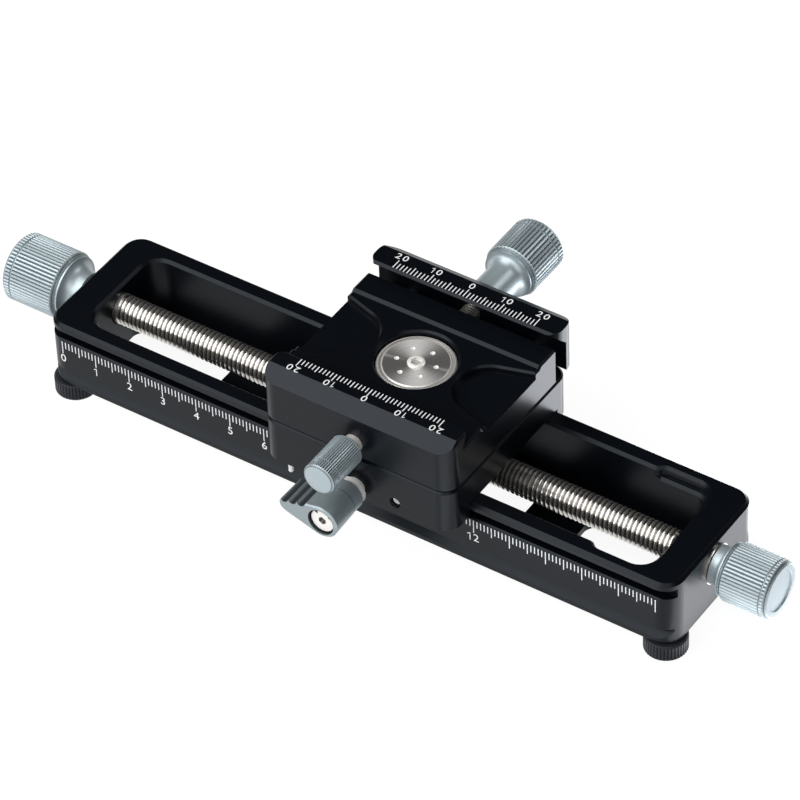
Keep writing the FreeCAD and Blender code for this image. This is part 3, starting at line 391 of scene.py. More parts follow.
def lever_anodise(name, colour, axle, back):
    """Blasted anodise of the lever, with painted shade in its finger flutes, in its counterbore and at its
    back seam.
    """
    flutes, spacing, slope = 3, 2.45 * MM, math.radians(11.6)
    row = Vector((math.cos(slope), 0, math.sin(slope)))
    first = axle + Vector((-10.52 * MM, 0, 3.15 * MM))
    bore_edge, flute_edge, valley_edge = (3.56 * MM, 3.64 * MM), (1.55 * MM, 1.7 * MM), (0.5 * MM, 1.1 * MM)
    seam_edge = (back - 0.16 * MM, back - 0.1 * MM)
    board = Board(name)
    grit = board.grit(FINE_GRAIN)
    # Painted shade: clear falls to 0 in the counterbore, in the middle of each finger flute and at the back
    # seam, where shade falls.
    clear = board.ramp(board.length(board.about(1, axle)), *bore_edge)
    for index in range(flutes):
        offset = board.about(1, first + row * (spacing * index))
        inside = 1 - board.ramp(board.length(offset), *flute_edge)
        valley = 1 - board.ramp(abs(board.along(offset, row)), *valley_edge)
        clear = clear * (1 - inside * valley)
    # Painted shadow of the seam between the lever's back and the hub.
    clear = clear * (1 - board.ramp(board.along(board.place(), (0, 1, 0)), *seam_edge))
    tone = board.tint(grit, shade(colour, 0.9), shade(colour, 1.12))
    return board.principled(
        Base_Color=board.tint(clear, shade(colour, HOLE_SHADE), tone),
        Roughness=0.35 + grit * 0.1,
        Metallic=0.5,
        Normal=board.grit_normal(grit))


def socket_steel(name, colour, outward, centre, socket, face, inside):
    """Bright machined steel, with painted shade inside its hexagon socket and further in than its face."""
    board = Board(name)
    axis = [abs(part) for part in outward].index(1)
    smear = board.noise(board.place(), 700.0)
    flat = board.about(axis, centre)
    # Painted shade: the socket keeps the share inside of the colour, and what lies further in than the face
    # keeps HOLE_SHADE of it.
    outside = board.ramp(board.length(flat), socket * 0.8, socket * 0.9)
    depth_shade = 1 - board.ramp(board.along(board.place(), outward), face - 0.04 * MM, face)
    tone = board.tint(outside, shade(colour, inside), shade(colour, 1.18))
    return board.principled(
        Base_Color=board.tint(outside * depth_shade, tone, shade(colour, HOLE_SHADE)),
        Roughness=0.26 + smear * 0.06,
        Metallic=0.2)


def threaded_steel(name, colour, axis, centre, root, crest):
    """Turned steel with a painted highlight on the thread's crests and painted shade in its roots."""
    board = Board(name)
    # Painted light: the colour runs from a dark copy in the roots, painted shade, to a light copy on the
    # crests, painted highlight.
    rise = board.ramp(board.length(board.about(axis, centre)), root, crest)
    smear = board.noise(board.place(), 900.0)
    return board.principled(
        Base_Color=board.tint(rise, shade(colour, 0.24), shade(colour, 1.15)),
        Roughness=0.16 + smear * 0.12,
        Metallic=0.9)


def faced_disc(name, colour, centre, bearing):
    """Steel faced on a lathe: fine rings about an upright axis, a painted fan and streak of reflected light,
    and painted highlights on its rim.
    """
    face_end, groove, outer_edge = 8.05 * MM, (8.15 * MM, 8.35 * MM), (9.1 * MM, 9.3 * MM)
    broad, narrow, streak_turn = 1.9, 260.0, math.radians(114)
    fan_light, rings_per_metre = (0.86, 0.845, 0.82), 7000.0
    board = Board(name)
    flat = board.about(2, centre)
    radius = board.length(flat)
    # Painted reflection: the fan and the streak are painted into the colour by bearing, standing in for the
    # light that the rings throw; off the fan the steel is painted dark.
    ahead = board.share(flat, radius, bearing)
    beside = board.share(flat, radius, bearing - streak_turn)
    fan = (ahead * ahead) ** broad
    painted_streak = (beside * beside) ** narrow
    reach = board.node("ShaderNodeCombineXYZ", {}, {"X": radius * rings_per_metre})
    rings = board.noise(reach, 1.0, 3.0, 0.7)
    steel = board.tint(fan, shade(colour, 0.2), fan_light)
    marked = board.tint(painted_streak * 0.6, steel, shade(colour, 1.25))
    # Painted highlights on the rim's groove and outer edge; the rest of the rim is painted darker.
    edges = board.band(radius, *groove, 0.08 * MM) + board.ramp(radius, *outer_edge)
    rim = board.tint(edges, shade(colour, 0.6), shade(colour, 1.1))
    return board.principled(
        Base_Color=board.tint(board.ramp(radius, face_end, groove[0]), marked, rim),
        Roughness=0.2 + rings * 0.14,
        Metallic=0.4,
        Normal=board.bump(rings, 0.5, 0.02 * MM))


def plain_finish(name, colour, roughness, metallic=0.0, coat=0.0):
    """Even finish with a slight mottle."""
    board = Board(name)
    mottle = board.noise(board.place(), 1500.0)
    return board.principled(
        Base_Color=board.tint(mottle, shade(colour, 0.94), shade(colour, 1.05)),
        Roughness=roughness - 0.04 + mottle * 0.08,
        Metallic=metallic, Coat_Weight=coat)


def studio_floor(name, colour):
    """Pale floor: the camera and the metal see it lifted to white, with the object's shadow kept."""
    lift, grey = 0.93, 0.14
    board = Board(name)
    matt = board.node("ShaderNodeBsdfDiffuse", {}, {"Color": (*colour, 1)})
    glow = board.node("ShaderNodeEmission", {}, {"Color": (1, 1, 1, 1), "Strength": lift})
    faint = board.node("ShaderNodeBsdfDiffuse", {}, {"Color": (grey, grey, grey, 1)})
    lifted = board.node("ShaderNodeAddShader", {}, {0: faint, 1: glow})
    seen, mirrored, through = (board.node("ShaderNodeLightPath", output=ray)
                               for ray in ("Is Camera Ray", "Is Glossy Ray", "Is Transmission Ray"))
    return board.output(board.node("ShaderNodeMixShader", {},
                                   {0: seen + mirrored + through, 1: matt, 2: lifted}))


# ---------------- mesh helpers

def finished(bm, name, body, look, replaced=()):
    """Turn a bmesh into a piece that rides on a body; look names its finish."""
    bmesh.ops.remove_doubles(bm, verts=bm.verts, dist=MERGE)
    bmesh.ops.recalc_face_normals(bm, faces=bm.faces)
    mesh = bpy.data.meshes.new(name)
    bm.to_mesh(mesh)
    bm.free()
    mesh.materials.append(finish(look))
    mesh.shade_smooth()
    mesh.set_sharp_from_angle(angle=SMOOTH_ANGLE)
    piece = bpy.data.objects.new(name, mesh)
    bpy.context.scene.collection.objects.link(piece)
    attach(piece, body)
    if replaced:
        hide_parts(*replaced)


def aim(direction, origin):
    """Matrix that takes +X to a direction and the origin to a point."""
    turn = Vector((1, 0, 0)).rotation_difference(Vector(direction)).to_matrix().to_4x4()
    return Matrix.Translation(origin) @ turn


def stand(bm, direction, origin, first=0):
    """Take a bmesh's vertices, from the first one on, out of +X to a direction and on to a point."""
    bm.verts.ensure_lookup_table()
    bmesh.ops.transform(bm, matrix=aim(direction, origin), verts=bm.verts[first:])


def turned(bm, outline, steps=48):
    """Body of revolution about X from (along, radius) points; an end that is off the axis stays open."""
    corners = [bm.verts.new((along, 0, radius)) for along, radius in outline]
    edges = [bm.edges.new(pair) for pair in zip(corners, corners[1:])]
    bmesh.ops.spin(bm, geom=corners + edges, cent=ORIGIN, axis=(1, 0, 0), angle=math.tau,
                   steps=steps, use_merge=True)


def thread(bm, start, end, crest, depth, pitch, steps=20):
    """Helical ridge about X, its foot sunk in the core: a closed section is spun and advanced."""
    root, foot = crest - depth, crest - depth * 1.15
    section = [(-0.49, foot), (-0.40, root), (-0.09, crest), (0.09, crest), (0.40, root), (0.49, foot)]
    corners = [bm.verts.new((start + pitch * along, 0, radius)) for along, radius in section]
    turns = (end - start) / pitch
    count = round(turns * steps)
    bmesh.ops.spin(bm, geom=[bm.faces.new(corners)], cent=ORIGIN, axis=(1, 0, 0), angle=math.tau * turns,
                   steps=count, dvec=((end - start) / count, 0, 0))


def grow_ring(bm, edges):
    """Extrude a ring of edges in place; gives the new ring's vertices and edges."""
    grown = bmesh.ops.extrude_edge_only(bm, edges=edges)["geom"]
    verts = [item for item in grown if isinstance(item, bmesh.types.BMVert)]
    new = set(verts)
    return verts, [item for item in grown
                   if isinstance(item, bmesh.types.BMEdge) and new.issuperset(item.verts)]


def socket_head(bm, outline, socket, sink, steps=48):
    """Screw head about X: an outline is spun from the axis, and its open end runs into a hexagon socket."""
    turned(bm, outline, steps)
    bmesh.ops.remove_doubles(bm, verts=bm.verts, dist=MERGE)
    edges = [edge for edge in bm.edges if edge.is_boundary]
    half_side = math.pi / 6
    for drop in (0, sink):
        ring, edges = grow_ring(bm, edges)
        for vert in ring:
            bearing = math.atan2(vert.co.y, vert.co.z)
            reach = socket * math.cos(half_side) / math.cos(bearing % (2 * half_side) - half_side)
            vert.co = (outline[-1][0] - drop, reach * math.sin(bearing), reach * math.cos(bearing))
    bmesh.ops.contextual_create(bm, geom=edges)


FLUTE_POWER = 1.2  # above 1, the flutes are narrower than the ribs between them


def fluted(bm, stations, flutes, per_flute=6):
    """Knurled turned body about X; each station is (along, radius, flute depth)."""
    count = flutes * per_flute
    ring = bmesh.ops.create_circle(bm, segments=count, radius=1.0,
                                   matrix=Matrix.Rotation(math.pi / 2, 4, "Y"))["verts"]
    edges = list(bm.edges)
    bearings = [math.atan2(v.co.z, v.co.y) for v in ring]

    def shape(verts, angles, station):
        along, radius, depth = station
        for vert, angle in zip(verts, angles):
            groove = max(0.0, math.cos(angle * flutes)) ** FLUTE_POWER
            reach = radius - depth * groove
            vert.co = (along, reach * math.cos(angle), reach * math.sin(angle))

    shape(ring, bearings, stations[0])
    bmesh.ops.contextual_create(bm, geom=edges)
    for station in stations[1:]:
        ring, edges = grow_ring(bm, edges)
        shape(ring, [math.atan2(v.co.z, v.co.y) for v in ring], station)
    bmesh.ops.contextual_create(bm, geom=edges)


def knob_stations(length, drum, depth, neck, flare, rim, drum_from, chamfer, ring, recess):
    """Stations of a knob from its neck. Flare is where the neck starts to widen, rim is the start, end and
    radius of the rim that it runs into, and ring is how far the drum's groove lies from the end."""
    rim_from, rim_to, rim_radius = rim
    stations = [(0, neck * 0.5, 0), (0, neck, 0), (flare, neck, 0)]
    steps = 6
    for index in range(1, steps + 1):
        turn = index / steps * math.pi / 2
        stations.append((flare + (rim_from - flare) * math.sin(turn),
                         neck + (rim_radius - neck) * (1 - math.cos(turn)), 0))
    undercut, hollow, slant = 0.5 * MM, 0.35 * MM, 0.25 * MM
    groove, sink = 0.22 * MM, 0.25 * MM
    ring_at = length - ring
    return stations + [
        (rim_to, rim_radius, 0),
        (rim_to, rim_radius - undercut, 0),
        (drum_from, rim_radius - undercut, 0),
        (drum_from, drum - chamfer, 0),
        (drum_from + chamfer, drum, depth * 0.25),
        (drum_from + chamfer * 1.5, drum, depth),
        (ring_at - groove, drum, depth),
        (ring_at - groove * 0.6, drum - sink, 0),
        (ring_at + groove * 0.6, drum - sink, 0),
        (ring_at + groove, drum, depth),
        (length - chamfer * 1.3, drum, depth),
        (length - chamfer, drum, depth * 0.25),
        (length, drum - chamfer, 0),
        (length, recess, 0),
        (length - hollow, recess - slant, 0),
        (length - hollow, recess * 0.4, 0)]


def knob_piece(node, direction, body, stations, flutes):
    """Knurled knob that stands for a CAD knob; direction points out of its neck."""
    low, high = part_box(node)
    axis = Vector(direction)
    start = middle(node) - axis * (abs((high - low).dot(axis)) / 2)
    bm = bmesh.new()
    fluted(bm, stations, flutes)
    stand(bm, direction, start)
    finished(bm, node + "_knurled", body, node, (node,))


CAP_SHARE = 0.72  # a figure's height as a share of its em
ONE_CELL, CELL = 0.4, 0.64  # width of a 1 and of the other figures, in ems


def figures(bm, text, height, matrix, ink, wide=1.0):
    """Add figures to a bmesh; they are centred on the matrix's origin and face its +Z."""
    em = height / CAP_SHARE
    cells = [em * wide * (ONE_CELL if figure == "1" else CELL) for figure in text]
    place = -sum(cells) / 2
    for figure, cell in zip(text, cells):
        shift = Matrix.Translation((place + cell / 2, 0, 0))
        place += cell
        if figure == "1":
            one(bm, height, matrix @ shift, ink)
        else:
            glyph(bm, figure, em, matrix @ shift @ Matrix.Diagonal((wide, 1, 1, 1)), ink)


def one(bm, height, matrix, ink):
    """Add a figure 1: a stem with a slanted flag."""
    bar, flag, slant = height * 0.105, height * 0.36, math.radians(32)
    tip = Vector((-flag / 2 * math.cos(slant), height / 2 - bar / 2 - flag / 2 * math.sin(slant), 0))
    bmesh.ops.create_cube(bm, size=1.0, matrix=matrix @ Matrix.Diagonal((bar, height, ink, 1)))
    bmesh.ops.create_cube(bm, size=1.0, matrix=matrix @ Matrix.Translation(tip)
                          @ Matrix.Rotation(slant, 4, "Z") @ Matrix.Diagonal((flag, bar, ink, 1)))


def glyph(bm, figure, em, matrix, ink):
    """Add one figure of the plain font."""
    curve = bpy.data.curves.new("figure", "FONT")
    curve.body = figure
    curve.size = em
    curve.align_x = "CENTER"
    curve.align_y = "CENTER"
    curve.extrude = ink / 2
    curve.offset = em * 0.004
    curve.resolution_u = 4
    carrier = bpy.data.objects.new("figure", curve)
    bpy.context.scene.collection.objects.link(carrier)
    bpy.context.view_layer.update()
    mesh = bpy.data.meshes.new_from_object(carrier.evaluated_get(bpy.context.evaluated_depsgraph_get()))
    mesh.transform(matrix)
    bm.from_mesh(mesh)
    bpy.data.objects.remove(carrier)
    bpy.data.curves.remove(curve)
    bpy.data.meshes.remove(mesh)


def mark_height(heights, mark):
    """Height of a scale line: the table lists the widest step first."""
    return next(height for step, height in heights.items() if mark % step == 0)


def line_mark(bm, centre, size):
    """Add a thin bar of print."""
    bmesh.ops.create_cube(bm, size=1.0, matrix=Matrix.Translation(centre) @ Matrix.Diagonal((*size, 1)))


# ---------------- finishes

FINISHES = {}
LEVER_SOCKET, PIVOT_SOCKET = 1.15 * MM, 1.35 * MM  # hexagon sockets, from the middle to a corner


def finish(slot):
    """The material of a slot, made once."""
    if slot not in FINISHES:
        colours = settings().rail_finishes
        steel, knob = colours.steel, colours.knob
        makers = {
            "body_black": lambda: blasted_anodise("body_anodise", colours.body),
            "foot_black": lambda: blasted_anodise("foot_anodise", colours.foot, FINE_GRAIN, 0.4),
            "knob_grey": lambda: blasted_anodise(
                "knob_anodise", shade(knob, 0.7), FINE_GRAIN, 0.38, metallic=0.5, ior=1.5),
            "left_knob": lambda: knurled_anodise("left_knob_anodise", knob, 0, "left_knob"),
            "right_knob": lambda: knurled_anodise("right_knob_anodise", knob, 0, "right_knob"),
            "clamp_knob": lambda: knurled_anodise("clamp_knob_anodise", knob, 1, "clamp_knob"),
            "pan_lock_knob": lambda: knurled_anodise("pan_knob_anodise", knob, 1, "pan_lock_knob"),
            "lock_lever": lambda: lever_anodise(
                "lever_anodise", shade(knob, 0.74), middle("lock_screw"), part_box("lock_lever")[1].y),
            "lock_screw": lambda: socket_steel(
                "lock_screw_steel", steel, (0, -1, 0), middle("lock_screw"), LEVER_SOCKET,
                face=-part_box("lock_screw")[0].y - 0.5 * MM, inside=0.66),
            "pivot_screw": lambda: socket_steel(
                "pivot_screw_steel", steel, (0, 0, 1), middle("pivot_screw"), PIVOT_SOCKET,
                face=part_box("pivot_screw")[1].z - 0.15 * MM, inside=0.62),
            "lead_thread": lambda: threaded_steel(
                "lead_thread", steel, 0, middle("lead_screw"), root=3.25 * MM, crest=3.9 * MM),
            "clamp_thread": lambda: threaded_steel(
                "clamp_thread", steel, 1, middle("clamp_screw"), root=2.05 * MM, crest=2.46 * MM),
            "disc_steel": lambda: faced_disc("disc_steel", steel, middle("pivot_disc"), colours.fan),
            "screw_steel": lambda: turned_metal("screw_steel", shade(steel, 1.1), 1, 0.22, 0.4),
            "bright_steel": lambda: turned_metal("bright_steel", shade(steel, 1.25), 1, 0.25, 0.25),
            "bush_bronze": lambda: turned_metal("bush_steel", steel, 0, 0.28),
            "brass": lambda: turned_metal("brass", colours.brass, 0, 0.3),
            "dark_steel": lambda: plain_finish("dark_steel", (0.30, 0.30, 0.31), 0.35, 0.6),
            "pin_white": lambda: plain_finish("pin_white", colours.ink, 0.35, 0.0, 0.3),
            "ink": lambda: plain_finish("scale_ink", colours.ink, 0.6),
        }
        FINISHES[slot] = makers[slot]()
    return FINISHES[slot]


class RAIL_OT_finishes(bpy.types.Operator):
    """Give each solid the finish of its slot"""
    bl_idname = "rail.finishes"
    bl_label = "Finishes"

    def execute(self, context):
        for part in frame["record"]["subparts"]:
            node = frame["nodes"][part["node"]]
            slot = "lock_lever" if part["node"] == "lock_lever" else part["material_slot"]
            for place in node.material_slots:
                place.material = finish(slot)
        return {"FINISHED"}


class RAIL_OT_lead_screw(bpy.types.Operator):
    """Thread the lead screw between its plain shoulders"""
    bl_idname = "rail.lead_screw"
    bl_label = "Lead screw"

    def execute(self, context):
        threads = settings().rail_threads
        low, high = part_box("lead_screw")
        centre = middle("lead_screw")
        crest = (high.z - low.z) / 2
        root = crest - threads.lead_depth
        journal, play, shoulder_length = 3.0 * MM, 0.15 * MM, 4.6 * MM
        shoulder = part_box("bush_right")[0].x - play
        plain = shoulder - shoulder_length
        bm = bmesh.new()
        turned(bm, [(low.x, 0), (low.x, journal), (-shoulder, journal), (-shoulder, crest), (-plain, crest),
                    (-plain, root), (plain, root), (plain, crest), (shoulder, crest), (shoulder, journal),
                    (high.x, journal), (high.x, 0)])
        thread(bm, -plain, plain, crest, threads.lead_depth, threads.lead_pitch)
        bmesh.ops.translate(bm, vec=(0, 0, centre.z), verts=bm.verts)
        finished(bm, "lead_screw_threaded", "drive", "lead_thread", ("lead_screw",))
        return {"FINISHED"}


class RAIL_OT_clamp_screw(bpy.types.Operator):
    """Thread the clamp screw"""
    bl_idname = "rail.clamp_screw"
    bl_label = "Clamp screw"

    def execute(self, context):
        threads = settings().rail_threads
        low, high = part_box("clamp_screw")
        centre = middle("clamp_screw")
        crest = (high.z - low.z) / 2
        root = crest - threads.clamp_depth
        length = high.y - low.y
        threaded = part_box("movable_jaw")[1].y - low.y
        edge = 0.4 * MM
        bm = bmesh.new()
        turned(bm, [(0, 0), (0, root - edge), (edge, root), (threaded, root), (threaded, crest),
                    (length, crest), (length, 0)], 32)
        thread(bm, edge * 1.5, threaded, crest, threads.clamp_depth, threads.clamp_pitch)
        stand(bm, (0, 1, 0), (centre.x, low.y, centre.z))
        finished(bm, "clamp_screw_threaded", "jaw_drive", "clamp_thread", ("clamp_screw",))
        return {"FINISHED"}


class RAIL_OT_knobs(bpy.types.Operator):
    """Knurl the two end knobs and the clamp knob"""
    bl_idname = "rail.knobs"
    bl_label = "Knobs"

    def execute(self, context):
        knurls = settings().rail_knurls
        knobs = {
            "left_knob": ("drive", (-1, 0, 0), knurls.left_flutes, {
                "neck": 5.5 * MM, "flare": 0.8 * MM, "rim": (4.3 * MM, 4.7 * MM, 8.2 * MM),
                "drum_from": 5.2 * MM, "chamfer": 0.7 * MM, "ring": 2.4 * MM, "recess": 6.5 * MM}),
            "right_knob": ("drive", (1, 0, 0), knurls.right_flutes, {
                "neck": 5.0 * MM, "flare": 1.5 * MM, "rim": (3.1 * MM, 3.4 * MM, 6.8 * MM),
                "drum_from": 3.7 * MM, "chamfer": 0.9 * MM, "ring": 1.9 * MM, "recess": 5.4 * MM}),
            "clamp_knob": ("jaw_drive", (0, 1, 0), knurls.clamp_flutes, {
                "neck": 4.6 * MM, "flare": 8.7 * MM, "rim": (11.2 * MM, 11.5 * MM, 6.5 * MM),
                "drum_from": 12.3 * MM, "chamfer": 0.6 * MM, "ring": 2.6 * MM, "recess": 5.2 * MM}),
        }
        for node, (body, outward, flutes, sizes) in knobs.items():
            low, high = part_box(node)
            length = high.y - low.y if outward[1] else high.x - low.x
            stations = knob_stations(length, (high.z - low.z) / 2, knurl_depth(node), **sizes)
            knob_piece(node, outward, body, stations, flutes)
        return {"FINISHED"}


class RAIL_OT_pan_knob(bpy.types.Operator):
    """Knurl the small pan lock knob"""
    bl_idname = "rail.pan_knob"
    bl_label = "Pan lock knob"

    def execute(self, context):
        low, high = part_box("pan_lock_knob")
        length, drum = high.y - low.y, (high.z - low.z) / 2
        edge, depth = 0.45 * MM, knurl_depth("pan_lock_knob")
        groove, sink, ring_at = 0.2 * MM, 0.22 * MM, length - 3.0 * MM
        stations = [(0, drum * 0.5, 0), (0, drum - edge, 0), (edge, drum, depth * 0.3),
                    (edge * 1.4, drum, depth), (ring_at - groove, drum, depth),
                    (ring_at - groove * 0.5, drum - sink, 0), (ring_at + groove * 0.5, drum - sink, 0),
                    (ring_at + groove, drum, depth), (length - edge * 1.3, drum, depth),
                    (length - edge, drum, depth * 0.3), (length - edge * 0.3, drum - edge * 0.5, 0),
                    (length, drum - edge, 0), (length, drum * 0.4, 0)]
        knob_piece("pan_lock_knob", (0, -1, 0), "pan_lock", stations, settings().rail_knurls.pan_flutes)
        return {"FINISHED"}


class RAIL_OT_feet(bpy.types.Operator):
    """Knurl the four feet"""
    bl_idname = "rail.feet"
    bl_label = "Feet"

    def execute(self, context):
        feet = {"foot_front_left": "foot_fl", "foot_front_right": "foot_fr",
                "foot_rear_left": "foot_rl", "foot_rear_right": "foot_rr"}
        under_rail, stud, edge, depth = 0.3 * MM, 1.5 * MM, 0.4 * MM, knurl_depth("foot")
        for node, body in feet.items():
            low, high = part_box(node)
            centre = middle(node)
            radius, thick = (high.x - low.x) / 2, -under_rail - low.z
            bm = bmesh.new()
            fluted(bm, [(0, radius * 0.6, 0), (0, radius - edge, 0), (edge, radius, depth),
                        (thick - edge, radius, depth), (thick, radius - edge, 0), (thick, stud, 0),
                        (high.z - low.z, stud, 0)], settings().rail_knurls.foot_flutes, 4)
            stand(bm, (0, 0, 1), (centre.x, centre.y, low.z))
            finished(bm, node + "_knurled", body, "foot_black", (node,))
        return {"FINISHED"}


class RAIL_OT_lock_stud(bpy.types.Operator):
    """Turn the lock stud with its broad, bright collar"""
    bl_idname = "rail.lock_stud"
    bl_label = "Lock stud"

    def execute(self, context):
        low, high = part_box("lock_stud")
        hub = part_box("lock_hub")[1]
        centre = middle("lock_stud")
        length, stud, bore, bore_end = high.y - low.y, 2.5 * MM, 1.55 * MM, 8.5 * MM
        collar, edge = hub.z - centre.z - 0.25 * MM, 0.25 * MM
        root = hub.y - low.y + 0.05 * MM
        rim = root + 1.75 * MM
        bm = bmesh.new()
        turned(bm, [(bore_end, 0), (bore_end, bore), (0, bore), (0, stud), (root, stud),
                    (root, collar - edge), (root + edge, collar), (rim - edge, collar),
                    (rim, collar - edge), (rim, stud), (length, stud), (length, 0)], 64)
        stand(bm, (0, 1, 0), (centre.x, low.y, centre.z))
        finished(bm, "lock_stud_collared", "travel_lock", "bright_steel", ("lock_stud",))
        return {"FINISHED"}


class RAIL_OT_screws(bpy.types.Operator):
    """Give the lever's screw, the gib screws and the pivot screw their heads and sockets"""
    bl_idname = "rail.screws"
    bl_label = "Socket screws"

    def execute(self, context):
        self.lever_screw()
        self.gib_screws()
        self.pivot_screw()
        return {"FINISHED"}

    @staticmethod
    def lever_screw():
        """Flat head with two small notches in its rim."""
        notches, half_width, notch_floor = (40, 125), 8, 0.72
        low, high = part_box("lock_screw")
        centre = middle("lock_screw")
        length, head, sunk = high.y - low.y, (high.z - low.z) / 2 - 0.12 * MM, 0.4 * MM
        shank, thick, edge, mouth = 1.5 * MM, 1.6 * MM, 0.12 * MM, 1.5 * MM
        bm = bmesh.new()
        socket_head(bm, [(-length, 0), (-length, shank), (-thick, shank), (-thick, head),
                         (-sunk - edge, head), (-sunk, head - edge), (-sunk, mouth)],
                    LEVER_SOCKET, sink=1.2 * MM, steps=72)
        for vert in bm.verts:
            bearing = math.degrees(math.atan2(vert.co.z, vert.co.y)) % 360
            in_notch = min(abs(bearing - notch) for notch in notches) < half_width
            if in_notch and math.hypot(vert.co.y, vert.co.z) > head * 0.9:
                vert.co.y *= notch_floor
                vert.co.z *= notch_floor
        stand(bm, (0, -1, 0), (centre.x, low.y, centre.z))
        finished(bm, "lock_screw_headed", "travel_lock", "lock_screw", ("lock_screw",))

    @staticmethod
    def gib_screws():
        """Two short set screws, sunk below the carriage's face."""
        low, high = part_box("gib_set_screws")
        centre = middle("gib_set_screws")
        radius, sunk = (high.z - low.z) / 2, 0.5 * MM
        length, edge, mouth = high.y - low.y, 0.45 * MM, 0.95 * MM
        reach = (high.x - low.x) / 2 - radius
        bm = bmesh.new()
        for side in (-1, 1):
            single = bmesh.new()
            socket_head(single, [(-length, 0), (-length, radius), (-sunk - edge, radius),
                                 (-sunk, radius - edge), (-sunk, mouth)], 0.85 * MM, sink=1.2 * MM, steps=36)
            stand(single, (0, -1, 0), (centre.x + side * reach, low.y, centre.z))
            shell = bpy.data.meshes.new("gib_screw")
            single.to_mesh(shell)
            single.free()
            bm.from_mesh(shell)
            bpy.data.meshes.remove(shell)
        finished(bm, "gib_set_screws_socketed", "carriage", "bright_steel",
                 ("gib_set_screws",))

    @staticmethod
    def pivot_screw():
        """Domed screw in the pivot disc, and the drilled bottoms of the disc's spanner holes."""
        low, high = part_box("pivot_screw")
        centre = middle("pivot_screw")
        radius, length, dome = (high.x - low.x) / 2, high.z - low.z, 0.5 * MM
        bm = bmesh.new()
        socket_head(bm, [(-length, 0), (-length, radius), (-0.1 * MM, radius), (dome * 0.5, radius * 0.95),
                         (dome * 0.9, radius * 0.84), (dome, radius * 0.7)], PIVOT_SOCKET, sink=0.6 * MM)
        stand(bm, (0, 0, 1), (centre.x, centre.y, high.z))
        finished(bm, "pivot_screw_domed", "carriage", "pivot_screw", ("pivot_screw",))
        holes, first, circle = 6, 12.7, 5.0 * MM
        hole, floor, lip, cone = 0.64 * MM, -1.15 * MM, -0.03 * MM, -0.42 * MM
        cup = bmesh.new()
        for index in range(holes):
            bearing = math.radians(first + index * 360 / holes)
            spot = (centre.x + circle * math.cos(bearing), centre.y + circle * math.sin(bearing), high.z)
            before = len(cup.verts)
            turned(cup, [(floor, 0), (floor, hole), (lip, hole), (cone, 0)], 24)
            stand(cup, (0, 0, 1), spot, before)
        finished(cup, "spanner_hole_bottoms", "carriage", "bright_steel")


class RAIL_OT_rail_scale(bpy.types.Operator):
    """Print the millimetre scale on the rail's front face"""
    bl_idname = "rail.rail_scale"
    bl_label = "Rail scale"

    def execute(self, context):
        scales = settings().rail_scales
        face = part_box("rail_frame")[0].y
        start, top, number_height = -scales.length / 2 * MM, 13.71 * MM, 8.2 * MM
        heights = {10: 3.93 * MM, 5: 3.1 * MM, 1: 2.1 * MM}
        bm = bmesh.new()
        for mark in range(scales.length + 1):
            height = mark_height(heights, mark)
            line_mark(bm, (start + mark * MM, face, top - height / 2),
                      (scales.line, scales.ink * 2, height))
        upright = Matrix.Rotation(math.pi / 2, 4, "X")
        for number in range(scales.last_number + 1):
            place = Matrix.Translation((start + number * 10 * MM, face, number_height)) @ upright
            figures(bm, str(number), scales.rail_digit, place, scales.ink * 2)
        finished(bm, "rail_scale", "rail", "ink")
        return {"FINISHED"}


class RAIL_OT_jaw_scales(bpy.types.Operator):
    """Print the centring scales on the clamp's two jaws"""
    bl_idname = "rail.jaw_scales"
    bl_label = "Jaw scales"

    def execute(self, context):
        scales = settings().rail_scales
        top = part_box("clamp_base")[1].z
        middle_x = middle("clamp_base").x
        last, broad = 20, 1.15
        # piece, body, the lines' inner ends and way out, heights of the lines, the figures' place and turn
        jaws = (("front_jaw_scale", "clamp", -18.93, -1, {10: 2.53, 5: 2.07, 1: 1.67}, -22.42, math.pi),
                ("rear_jaw_scale", "jaw", 19.6, 1, {10: 2.85, 5: 2.6, 1: 2.0}, 23.75, 0.0))
        for name, body, inner, outward, heights, figure_y, turn in jaws:
            bm = bmesh.new()
            for mark in range(-last, last + 1):
                height = mark_height(heights, mark)
                line_mark(bm, (middle_x + mark * MM, (inner + outward * height / 2) * MM, top),
                          (scales.line, height * MM, scales.ink * 2))
            for mark in range(-last, last + 1, 10):
                place = Matrix.Translation((middle_x + mark * MM, figure_y * MM, top))
                figures(bm, str(abs(mark)), scales.jaw_digit, place @ Matrix.Rotation(turn, 4, "Z"),
                        scales.ink * 2, broad)
            finished(bm, name, body, "ink")
        return {"FINISHED"}


# ---------------- studio

# name, direction from the rail, distance, side and power
LAMPS = (
    ("overhead", (-0.42, -0.12, 0.89), 1.0, 0.75, 4.6),
    ("camera_side", (0.45, -0.75, 0.42), 1.3, 1.5, 10.5),
    ("front_softbox", (-0.42, -0.68, 0.6), 1.2, 1.1, 11.0),
    ("rear_softbox", (0.43, 0.62, 0.66), 1.2, 0.45, 2.0),
)
# name, middle, width and depth, and brightness
CARDS = (
    ("end_card", (0.103, 0.015), (0.022, 0.075), 2.4),
    ("knob_card", (0.127, 0.015), (0.024, 0.06), 0.75),
    ("rear_card", (0.08, 0.075), (0.08, 0.09), 4.4),
    ("corner_card", (0.058, -0.062), (0.05, 0.045), 1.2),
)
CARD_TINT = (0.93, 0.95, 1.0)


